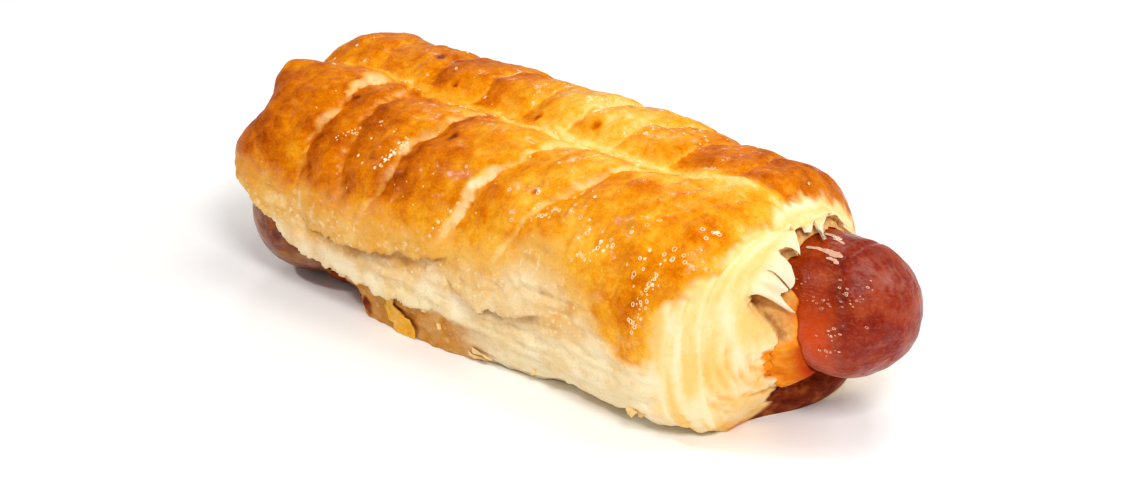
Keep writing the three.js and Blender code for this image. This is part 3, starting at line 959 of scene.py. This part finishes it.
def stain_and_shade_tunnel(pastry):
    """Colours the tunnel's wall, which the sausage's juice has soaked and which is painted with
    shade.
    """
    mesh = pastry.data
    points = np.empty(3 * len(mesh.vertices), np.float32)
    mesh.vertices.foreach_get("co", points)
    points = points.reshape(-1, 3) / MM
    wall = off_centre(points) < SAUSAGE.radius + 2 * SKIN.gap
    for name in MASKS:
        values = np.empty(len(points), np.float32)
        attribute = mesh.attributes[name].data
        attribute.foreach_get("value", values)
        values[wall] = TUNNEL_LEVELS.get(name, 0)
        attribute.foreach_set("value", values)


# ---- the sausage ----

def crease_x(wrapped):
    """Where the skin's crease lies along X, at an angle round the sausage."""
    return mix(*SKIN.crease, smooth(*SKIN.crease_angles, -wrapped))


def bar_sections():
    """Shares of the centre line and the radius there, over the bar and its two round caps."""
    cap_share = SAUSAGE.radius / (SAUSAGE.right_tip[0] - SAUSAGE.left_tip[0])
    turn = np.linspace(0, 90, SKIN.cap + 1)[1:]
    cap_shares, cap_radii = cap_share * (1 - cos(turn)), SAUSAGE.radius * sin(turn)
    bar = np.linspace(cap_share, 1 - cap_share, SKIN.along)[1:-1]
    shares = np.concatenate([cap_shares, bar, 1 - cap_shares[::-1]])
    radii = np.concatenate([cap_radii, np.full(len(bar), float(SAUSAGE.radius)), cap_radii[::-1]])
    return shares[:, None], radii[:, None]


def skin_relief(even, x, wrapped, past_crease):
    """Height of the skin over the plain bar, in mm."""
    tip = smooth(*SKIN.tip, x)
    swells = cloud_at(even, SKIN.swell_sizes, 2, seed=103)
    folds = cloud_at(even, SKIN.fold_sizes, 2, seed=101)
    swells = swells * mix(SKIN.swell_inside, 1, tip) - SKIN.sunk
    relief = SKIN.swell * swells + SKIN.fold * folds * tip
    relief = relief - SKIN.crease_depth * bell(past_crease, SKIN.crease_spread)
    flat = bell(apart(wrapped, SKIN.flat_angle), SKIN.flat_spread) * smooth(*SKIN.flat_from, x)
    return np.minimum(relief - SKIN.flat * flat, SKIN.most * smooth(*SKIN.free_from, x))


def sausage_object():
    share, radii = bar_sections()
    angle = turns(SKIN.around)[None, :]
    x = centre(share[:, 0])[:, :1]
    wrapped = apart(angle, 0)
    past_crease = x - crease_x(wrapped)
    even = round_points(share, angle, radii)
    relief = skin_relief(even, x, wrapped, past_crease) * smooth(0, 6, radii)
    rings = round_points(share, angle, radii + relief)
    vertices, faces = skin(SAUSAGE.left_tip, rings, SAUSAGE.right_tip)
    glow = smooth(-1, -4.5, past_crease) * bell(wrapped + 98, 30) * smooth(40, 60, x)
    zones = {  # each with its level at the left and at the right tip
        # A pinkish painted highlight near the right tip.
        "painted_highlight": (bell(x - 83, 4.5) * bell(wrapped + 8, 40), 0, 0.3),
        # A dark line of painted shade along the skin's crease.
        "crease": (bell(past_crease + 0.5, 1.5) * window(-80, -50, -25, 0, wrapped), 0, 0),
        "oiled": (smooth(0.5, -3, past_crease) * smooth(-40, -20, x), 0, 0),
        "glowing": (glow, 0, 0),
        # The left end lies under the pastry and is painted dark, as shade.
        "base": (smooth(-28, -40, x) + 0 * wrapped, 1, 0),
    }
    masks = {name: np.append(zone.ravel(), tips) for name, (zone, *tips) in zones.items()}
    return new_object("sausage_skin", vertices, faces, masks)


# ---- flakes, drops and crumbs ----

ON_TABLE = 0.3  # what would dip below the table lies on it instead, in about this thickness


def on_sausage(x, angle, off):
    """Points that far off the sausage's skin, in mm."""
    return round_points(share_at(x), angle, SAUSAGE.radius + off)


def on_crust(x, angle, off):
    """Points that far off the pastry's outer surface, in mm."""
    points = outer_points(x / ROLL.half_length, angle)
    points = points + np.asarray(off)[..., None] * stacked(0 * x, sin(angle), cos(angle))
    points[..., 2] = ON_TABLE * np.logaddexp(0, points[..., 2] / ON_TABLE)
    return points


# A torn flake is a thin leaf: its root, its bend and its tip, each as (x, angle, height over
# the surface), its width at root and bend, its thickness, and how far its sides curl up.
SCRAPS = [
    ((68, 1, 0), (70.2, 4, 0), (71.8, 0, -0.2), (1.2, 2.2), 0.3, 0.05),
    ((70.6, -3, 0), (71.8, -1, 0), (73, -5, -0.2), (0.7, 1.2), 0.3, 0.05),
    ((67.6, -22, 0), (70.2, -17, 0), (72.2, -20, -0.2), (0.9, 1.8), 0.3, 0.05),
    ((71.2, -20, 0), (73.2, -17, 0), (74.6, -22, -0.2), (2, 3.4), 0.3, 0.05),
    ((72.6, -26, 0), (74.2, -24, 0), (75.4, -28, -0.2), (0.8, 1.5), 0.3, 0.05),
]
# The crust's flakes, each with its levels of the crust's masks.
CRUST_FLAKES = [
    (((5.2, -122.5, 0.2), (7.6, -124, 0.8), (10, -124.6, 0.9), (1.3, 0.9), 0.25, 0.1),
     {"torn": 0.6, "toast": 0.4}),
    (((4, -124.5, 0.2), (5.8, -126, 0.7), (7.8, -127.6, 0.7), (1.2, 0.7), 0.25, 0.1),
     {"torn": 0.6, "toast": 0.4}),
    (((-17.6, -116.5, 0.3), (-14.8, -122, 0.8), (-10.6, -129.5, 0.7), (4.6, 7.4), 0.5, 0.15),
     {"glaze": 1, "toast": 0.16}),
]
LEAF = Sizes(rings=30, points=16, ruffle=0.45, blunt=6, sway=0.3, dent=0.3)

# Crumbs: (x, angle, height over the surface in mm, radius in mm).
CRUMBS = [
    (47.6, -119, 0.3, 1), (49.2, -121, 0.2, 0.6), (21, -123, 0.2, 0.5),
    (-6, -112, 0.2, 0.6), (-17.5, -111, 0.2, 0.7), (-2, -116, 0.2, 0.5),
]
CRUMB = Sizes(around=20, rings=11, rough=0.7, size=0.6, levels={"torn": 0.8})


def crumb(x, angle, height, radius):
    """One crumb on the crust as a closed lump: its points in mm and its faces."""
    middle = on_crust(*(np.array([value]) for value in (x, angle, height)))[0]
    tilt = np.linspace(-90, 90, CRUMB.rings + 2)[:, None]
    turn = turns(CRUMB.around)[None, :]
    ball = radius * stacked(cos(tilt) * cos(turn), cos(tilt) * sin(turn), sin(tilt))
    rough = 1 + CRUMB.rough * cloud_at(middle + ball, (CRUMB.size,) * 3, 2, seed=7)
    points = middle + rough[..., None] * ball
    return skin(points[0, 0], points[1:-1], points[-1, 0])


def leaf(surface, flake, seed):
    """One flake as a closed surface: its points in mm and its faces."""
    root, bend, tip, (root_width, bend_width), thickness, curl = flake
    share = np.linspace(0, 1, LEAF.rings + 2)[1:-1, None]
    root, bend, tip = (np.array(place, float) for place in (root, bend, tip))
    spine = mix(mix(root, bend, share), mix(bend, tip, share), share)
    ahead = np.gradient(spine, axis=0) * (1, ARC, 1)
    ahead /= np.linalg.norm(ahead[:, :2], axis=1, keepdims=True)
    width = mix(root_width, bend_width, share) * np.sqrt(1 - share ** LEAF.blunt) / 2
    turn = turns(LEAF.points)[None, :]
    ruffle = LEAF.ruffle * cloud(6 * share, 2 * cos(turn), 1, 1, 3, seed)
    sway = LEAF.sway * share * ripple(3 * share, 1, 2, seed + 0.5)
    across = width * (1 + ruffle) * cos(turn) + sway
    height = thickness / 2 * sin(turn) + LEAF.dent * share * ruffle
    x = spine[:, :1] - across * ahead[:, 1:2]
    angle = spine[:, 1:2] + across * ahead[:, :1] / ARC
    lift = curl * cos(turn) ** 2 * (1 + cloud(5 * share, 3 * cos(turn), 1, 1, 2, seed))
    points = surface(x, angle, spine[:, 2:] + height + lift)
    ends = [surface(*(np.array(value) for value in place)) for place in (root, tip)]
    return skin(ends[0], points, ends[1])


def join(parts):
    """Several closed surfaces as one mesh's points and faces."""
    vertices, faces, first = [], [], 0
    for points, polygons in parts:
        vertices.append(points)
        faces += [tuple(first + corner for corner in polygon) for polygon in polygons]
        first += len(points)
    return np.vstack(vertices), faces


def flakes_object():
    """Torn flakes and crumbs of the crust, as one object."""
    parts = [leaf(on_crust, flake, 111 + i) for i, (flake, _) in enumerate(CRUST_FLAKES)]
    parts += [crumb(*lump) for lump in CRUMBS]
    levels = [level for _, level in CRUST_FLAKES] + [CRUMB.levels] * len(CRUMBS)
    counts = [len(points) for points, _ in parts]
    masks = {name: np.repeat([level.get(name, 0) for level in levels], counts) for name in MASKS}
    return new_object("torn_flakes", *join(parts), masks)


def scraps_object():
    """Thin wet scraps of the torn dough, stuck to the sausage."""
    parts = [leaf(on_sausage, scrap, 111 + i) for i, scrap in enumerate(SCRAPS)]
    return new_object("sausage_scraps", *join(parts))


# Small dried drops and bubbles, in streaks: (from x, angle, to x, angle, spread in mm, drops,
# bubbles). A bubble is a thin ring. Their pale colours are painted glints.
CRUST_DROPS = [
    (20, -60, 25, -46, 1.4, 6, 10), (24, -46, 33, -40, 1.2, 3, 5),
    (35, -66, 41, -55, 0.9, 12, 8), (43, -48, 46, -42, 1, 4, 4),
    (50.5, -84, 53.5, -60, 0.8, 22, 14), (47, -62, 52, -54, 1.2, 5, 5),
    (54, -54, 57.5, -46, 1, 2, 6), (55, -40, 59, -32, 1, 2, 5),
    (-19.5, -62, -16, -46, 0.4, 34, 0), (-33, -56, -30, -48, 0.4, 12, 0),
    (-1, -74, 3, -58, 1.2, 12, 0), (-10, -97, 2, -97, 2.5, 14, 0),
    (-40, -60, 40, -30, 7, 40, 6), (-50, 10, 50, 40, 7, 40, 6),
    (-36, -6, 32, -5, 0.5, 36, 0), (6, 24, 10, 44, 1.2, 24, 4),
    (20, 14, 26, 40, 1.4, 24, 6), (-8, 16, -4, 40, 1.2, 16, 0),
]
SAUSAGE_DROPS = [
    (79.5, -45, 84.5, -66, 1.3, 3, 9), (75.5, -58, 77, -64, 0.8, 3, 6),
    (77.5, -86, 80.5, -78, 1, 6, 5), (78, -104, 81, -96, 1, 6, 4),
    (70.5, -50, 74, -66, 1, 8, 2), (80, -20, 86, -50, 2.5, 5, 1),
]
DROP = Sizes(least=0.13, most=0.32, flatness=0.5, around=14, rings=6)
BUBBLE = Sizes(least=0.22, most=0.40, wire=0.09, around=18, points=7)


def circle(surface, x, angle, turn, aside, height):
    """Points on a surface, in mm, in circles round a place."""
    return surface(x + aside * cos(turn), angle + aside * sin(turn) / ARC, height + 0 * turn)


def drop(surface, x, angle, size):
    """A small flat drop lying on a surface, in mm."""
    tilt = np.linspace(-90, 90, DROP.rings + 2)[:, None]
    turn = turns(DROP.around)[None, :]
    rings = circle(surface, x, angle, turn, size * cos(tilt), DROP.flatness * size * sin(tilt))
    return skin(rings[0, 0], rings[1:-1], rings[-1, 0])


def bubble(surface, x, angle, size):
    """The rim of a small burst bubble on a surface: a thin ring, in mm."""
    turn, wire = turns(BUBBLE.around)[:, None], turns(BUBBLE.points)[None, :]
    aside, height = size + BUBBLE.wire * cos(wire), BUBBLE.wire * (0.5 + sin(wire))
    points = circle(surface, x, angle, turn, aside, height)
    here = np.arange(BUBBLE.around * BUBBLE.points).reshape(BUBBLE.around, BUBBLE.points)
    ahead, beside = np.roll(here, -1, axis=0), np.roll(here, -1, axis=1)
    quads = np.stack([here, ahead, np.roll(ahead, -1, axis=1), beside], axis=-1)
    return points.reshape(-1, 3), quads.reshape(-1, 4).tolist()


def drops_object(name, surface, streaks_of_drops):
    """Drops and bubbles strewn along streaks on a surface."""
    dice = np.random.default_rng(20)
    parts = []
    for x0, angle0, x1, angle1, spread, drops, bubbles in streaks_of_drops:
        for make, kind, count in ((drop, DROP, drops), (bubble, BUBBLE, bubbles)):
            share = dice.random(count)
            x = mix(x0, x1, share) + spread * dice.normal(size=count)
            angle = mix(angle0, angle1, share) + spread / ARC * dice.normal(size=count)
            sizes = mix(kind.least, kind.most, dice.random(count) ** 2)
            parts += [make(surface, *place) for place in zip(x, angle, sizes)]
    return new_object(name, *join(parts))


# ---- materials ----

def linear(code):
    """A colour for the shader from its #rrggbb code."""
    levels = [int(code[i:i + 2], 16) / 255 for i in (1, 3, 5)]
    shades = [v / 12.92 if v <= 0.04045 else ((v + 0.055) / 1.055) ** 2.4 for v in levels]
    return (*shades, 1)


class Shader:
    """Builds one material's nodes, each fed by the ones before it."""

    def __init__(self, name):
        self.material = bpy.data.materials.new(name)
        self.material.use_nodes = True
        self.tree = self.material.node_tree
        self.place = self.add("TexCoord", {})["Object"]

    def feed(self, sockets, values):
        """Links or sets sockets, by name or number; a colour can be given by its code."""
        for name, value in values.items():
            if isinstance(value, bpy.types.NodeSocket):
                self.tree.links.new(value, sockets[name])
            else:
                value = linear(value) if isinstance(value, str) else value
                sockets[name].default_value = value

    def add(self, kind, inputs, **settings):
        """A new node's outputs."""
        node = self.tree.nodes.new("ShaderNode" + kind)
        for name, value in settings.items():
            setattr(node, name, value)
        self.feed(node.inputs, inputs)
        return node.outputs

    def mask(self, name):
        return self.add("Attribute", {}, attribute_name=name)["Fac"]

    def math(self, operation, *values):
        return self.add("Math", dict(enumerate(values)), operation=operation)["Value"]

    def spread(self, value, low, high, to_low=0, to_high=1):
        """The value stretched from one range to another, and held inside it."""
        inputs = dict(enumerate((value, low, high, to_low, to_high)))
        return self.add("MapRange", inputs)["Result"]

    def noise(self, size, detail=3, roughness=0.5, scale=(1, 1, 1)):
        """Cloudy noise with blobs of about this size in mm."""
        stretched = self.add("Mapping", {"Vector": self.place, "Scale": scale})["Vector"]
        inputs = {"Vector": stretched, "Scale": 1 / (size * MM)}
        return self.add("TexNoise", {**inputs, "Detail": detail, "Roughness": roughness})["Fac"]

    def varied(self, base, noise, amount):
        """The base with noise round 0.5 added to it, that much for each unit of noise."""
        return self.math("MULTIPLY_ADD", self.math("SUBTRACT", noise, 0.5), amount, base)

    def blend(self, share, first, second):
        inputs = {"Factor": share, "A": first, "B": second}
        return self.add("Mix", inputs, data_type="RGBA")["Result"]

    def over(self, colour, other, share, low=0, high=1, most=1):
        """Another colour laid over the first, as far as the share has come from low to high."""
        return self.blend(self.spread(share, low, high, 0, most), colour, other)

    def ramp(self, share, *codes, at=(0.3, 0.5, 0.7)):
        """A run of colours, at these places of the share."""
        node = self.tree.nodes.new("ShaderNodeValToRGB")
        elements = node.color_ramp.elements
        while len(elements) < len(codes):
            elements.new(1)
        for element, position, code in zip(elements, at, codes):
            element.position = position
            element.color = linear(code)
        self.feed(node.inputs, {"Fac": share})
        return node.outputs["Color"]

    def bump(self, height, distance, strength, *below):
        """A bump of that height in mm, on top of the one below."""
        inputs = {"Height": height, "Distance": distance * MM, "Strength": strength}
        return self.add("Bump", {**inputs, **{"Normal": normal for normal in below}})["Normal"]

    def finish(self, inputs):
        """Feeds the surface's named sockets, and gives the material."""
        self.feed(self.tree.nodes["Principled BSDF"].inputs, inputs)
        return self.material


def dough_colour(s, mottle, speck, grain):
    """The dough without egg wash: pale or golden, and creamy where it is torn."""
    pale = s.ramp(s.noise(9, 2, 0.5), "#f0d6a0", "#f7e4b8", "#fbeecc")
    golden = s.ramp(mottle, "#d48e34", "#e2aa52", "#eec47c")
    dough = s.blend(s.mask("gold"), pale, golden)
    dough = s.over(dough, "#e6b058", s.noise(6, 4, 0.6), 0.5, 0.62, 0.32)
    dough = s.over(dough, "#d08a34", speck, 0.58, 0.72, 0.35)
    dough = s.over(dough, "#f6e2bc", grain, 0.56, 0.66, 0.5)
    fibres = s.varied(s.mask("fibre"), grain, 0.4)
    cream = s.ramp(fibres, "#f7ca78", "#fad998", "#fbe6ba", at=(0.2, 0.5, 0.8))
    cream = s.over(cream, "#ecdcbc", s.mask("raw"))
    return s.over(dough, cream, s.mask("torn"))


def marked(s, colour, mottle, grain):
    """The colour with the gaps between layers, the juice and the soaked dough over it; the gap
    and soaked colours are partly painted shade.
    """
    ply = s.ramp(grain, "#984c08", "#be7212", "#d69c4e", at=(0.35, 0.5, 0.68))
    amber = s.over("#f4b038", ply, s.mask("gold"))
    shaded = s.blend(s.mask("torn"), "#b4600c", amber)
    colour = s.over(colour, shaded, s.mask("gap"), most=0.9)
    stained = s.ramp(mottle, "#dc700e", "#f0901e", "#f9b048")
    colour = s.over(colour, stained, s.mask("juice"), 0.1, 0.8)
    colour = s.over(colour, "#b83404", s.mask("juice"), 1, 1.6)
    # Soaked dough, painted dark as shade in hollows and under the sausage.
    soaked = s.ramp(mottle, "#4c1206", "#7a2a10", "#a85a28")
    return s.over(colour, soaked, s.mask("soak"), 0.25, 0.8)


def pastry_material():
    s = Shader("pastry")
    mottle, speck, grain = s.noise(3.2, 4, 0.6), s.noise(0.42, 2, 0.55), s.noise(1.3, 3, 0.6)
    # The toast level carries browning and painted shade.
    toast = s.varied(s.varied(s.mask("toast"), mottle, 0.60), grain, 0.38)
    toast = s.varied(toast, speck, 0.30)
    crust = s.ramp(toast, "#fad078", "#f2b034", "#e4900e", "#d27000", "#ac4c00", "#702c00",
                   at=(0, 0.2, 0.40, 0.58, 0.80, 1))
    glaze = s.spread(s.varied(s.mask("glaze"), mottle, 0.5), 0.05, 0.95)
    colour = s.blend(glaze, dough_colour(s, mottle, speck, grain), crust)
    shine = s.spread(s.noise(4, 4, 0.6), 0.50, 0.62)
    shine = s.math("MULTIPLY", s.spread(glaze, 0.3, 1), shine)
    shine = s.math("MULTIPLY", shine, s.mask("gloss"))
    shine = s.math("MULTIPLY", shine, s.spread(toast, 0.42, 0.75, 1, 0.3))
    return s.finish({
        "Base Color": marked(s, colour, mottle, grain),
        "Roughness": s.spread(glaze, 0, 1, 0.65, 0.5),
        "Normal": s.bump(grain, 0.32, 0.7, s.bump(speck, 0.09, 0.7)),
        "Specular IOR Level": 0.08, "Specular Tint": "#ffb060",
        "Coat Weight": shine, "Coat Roughness": 0.10, "Coat IOR": 1.4,
        "Coat Normal": s.bump(grain, 0.30, 0.5, s.bump(mottle, 0.7, 0.5)),
        "Subsurface Weight": 0.04, "Subsurface Radius": (0.003, 0.0014, 0.0006),
        "Subsurface Scale": 0.5,
    })


def sausage_material():
    s = Shader("sausage_skin")
    mottle = s.noise(5, 4, 0.6)
    grain = s.noise(0.8, 3, 0.6)
    colour = s.ramp(mottle, "#6a0e00", "#8a1e04", "#a43c14")
    # A streaked pinkish painted highlight over the right tip.
    painted_highlight = s.spread(s.noise(1.1, 3, 0.6, scale=(0.3, 1, 1)), 0.40, 0.62)
    colour = s.blend(s.math("MULTIPLY", painted_highlight, s.mask("painted_highlight")), colour, "#984834")
    oiled = s.ramp(mottle, "#781800", "#902a00", "#a6400c")
    colour = s.blend(s.mask("oiled"), colour, oiled)
    colour = s.over(colour, "#c84200", s.mask("glowing"))
    # Painted shade along the crease.
    colour = s.over(colour, "#5c0a00", s.mask("crease"), most=0.6)
    colour = s.over(colour, "#b8582c", grain, 0.52, 0.66, 0.3)
    # The left end, painted darker as the shade under the pastry.
    dark = s.ramp(mottle, "#581804", "#88400f", "#a8702c")
    colour = s.blend(s.mask("base"), colour, dark)
    streaks = s.noise(1.5, 3, 0.6, scale=(0.22, 1, 1))
    wrinkled = s.bump(streaks, 0.6, 0.7, s.bump(grain, 0.2, 0.6))
    return s.finish({
        "Base Color": colour, "Roughness": s.spread(mottle, 0.3, 0.7, 0.24, 0.40),
        "Normal": s.bump(mottle, 0.4, 0.4, wrinkled), "Specular IOR Level": 0.12,
        "Coat Weight": s.spread(s.noise(4, 3, 0.6), 0.46, 0.60, 0, 0.5),
        "Coat Roughness": 0.22, "Coat IOR": 1.4, "Coat Normal": s.bump(mottle, 0.6, 0.6),
        "Subsurface Weight": 0.1, "Subsurface Radius": (0.004, 0.0012, 0.0006),
        "Subsurface Scale": 0.5,
    })


def drop_material(name, *codes):
    s = Shader(name)
    return s.finish({
        "Base Color": s.ramp(s.noise(6, 2), *codes), "IOR": 1.8, "Specular IOR Level": 1,
        "Roughness": s.spread(s.noise(1), 0.3, 0.7, 0.05, 0.15),
    })


# ---- floor, light and camera ----

CAMERA = Sizes(azimuth=42.22, elevation=25.97, roll=-1.10, distance=519.14,
               target=np.array((7.64, 0, 15.48)), pixels_per_radian=2619.13,
               image_width=1140, sensor_width=36, clip_end=10)


def looking_at(target, azimuth, elevation, distance, roll=0):
    """A matrix for a camera or lamp (sizes in mm): azimuth 0 is at -Y, and 90 at +X."""
    flat = cos(elevation)
    back = np.array((sin(azimuth) * flat, -cos(azimuth) * flat, sin(elevation)))
    right = np.array((cos(azimuth), sin(azimuth), 0))
    up = np.cross(back, right)
    turned_right = right * cos(roll) + up * sin(roll)
    turned_up = up * cos(roll) - right * sin(roll)
    axes = np.array((turned_right, turned_up, back)).T
    place = (target + back * distance) * MM
    return Matrix.Translation(place) @ Matrix(axes.tolist()).to_4x4()


def add_camera():
    camera = bpy.data.cameras.new("camera")
    camera.sensor_width = CAMERA.sensor_width
    camera.lens = CAMERA.pixels_per_radian / CAMERA.image_width * CAMERA.sensor_width
    camera.clip_end = CAMERA.clip_end
    thing = add_object("camera", camera)
    thing.matrix_world = looking_at(
        CAMERA.target, CAMERA.azimuth, CAMERA.elevation, CAMERA.distance, CAMERA.roll,
    )
    bpy.context.scene.camera = thing


# Soft lamps: (name, azimuth, elevation, distance mm, size mm, watts).
LAMPS = [
    ("key", 58, 45, 700, 180, 2.8),
    ("glint", -50, 42, 700, 45, 1.4),
    ("overhead", 130, 72, 700, 280, 1.1),
    ("window", 134, 36, 700, 300, 1.5),
    ("fill", -30, 25, 800, 500, 0.3),
    ("back", 222, 30, 800, 180, 0.7),
]
LAMP_TARGET = np.array((5, 0, 20))
WORLD_LIGHT = 0.26
FLOOR_HALF = 3000


def add_lamps():
    for name, azimuth, elevation, distance, size, power in LAMPS:
        lamp = bpy.data.lights.new(name, "AREA")
        lamp.shape = "SQUARE"
        lamp.size = size * MM
        lamp.energy = power
        thing = add_object(name, lamp)
        thing.matrix_world = looking_at(LAMP_TARGET, azimuth, elevation, distance)


def add_surroundings():
    world = bpy.data.worlds.new("studio")
    world.use_nodes = True
    background = world.node_tree.nodes["Background"].inputs
    background["Color"].default_value = (1, 1, 1, 1)
    background["Strength"].default_value = WORLD_LIGHT
    bpy.context.scene.world = world
    corners = FLOOR_HALF * np.array([(-1, -1, 0), (1, -1, 0), (1, 1, 0), (-1, 1, 0)])
    floor = new_object("floor", corners, [(0, 1, 2, 3)])
    s = Shader("floor")
    tone = s.ramp(s.noise(60, 2), "#fbfaf8", "#ffffff", at=(0.3, 0.7))
    floor.data.materials.append(s.finish({"Base Color": tone, "Roughness": 0.6}))


# ---- put together ----

def dress(thing, material, node=None):
    thing.data.materials.clear()
    thing.data.materials.append(material)
    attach(thing, "root")
    if node:
        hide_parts(node)


bpy.context.scene.view_settings.view_transform = "Standard"
add_camera()
add_lamps()
add_surroundings()

pastry = wrap_object()
cut_away(pastry, tunnel_object())
stain_and_shade_tunnel(pastry)
pastry.name = "pastry_crust"
dress(pastry, pastry_material(), "pastry")
dress(sausage_object(), sausage_material(), "sausage")
dress(flakes_object(), pastry.data.materials[0])
# The egg wash drops are coloured pale as painted glints.
egg_wash_and_glint = drop_material("egg_wash_and_glint", "#fabc5c", "#fdd690", "#ffeac0")
dress(drops_object("egg_wash_drops_and_glints", on_crust, CRUST_DROPS), egg_wash_and_glint)
# The juice drops are coloured pale as painted glints on the sausage.
juice = drop_material("juice", "#b85830", "#d88a60", "#ecc0a0")
dress(drops_object("juice_drops_and_glints", on_sausage, SAUSAGE_DROPS), juice)
wet_dough = drop_material("wet_dough", "#d09070", "#e4b494", "#f0d0b4")
dress(scraps_object(), wet_dough)
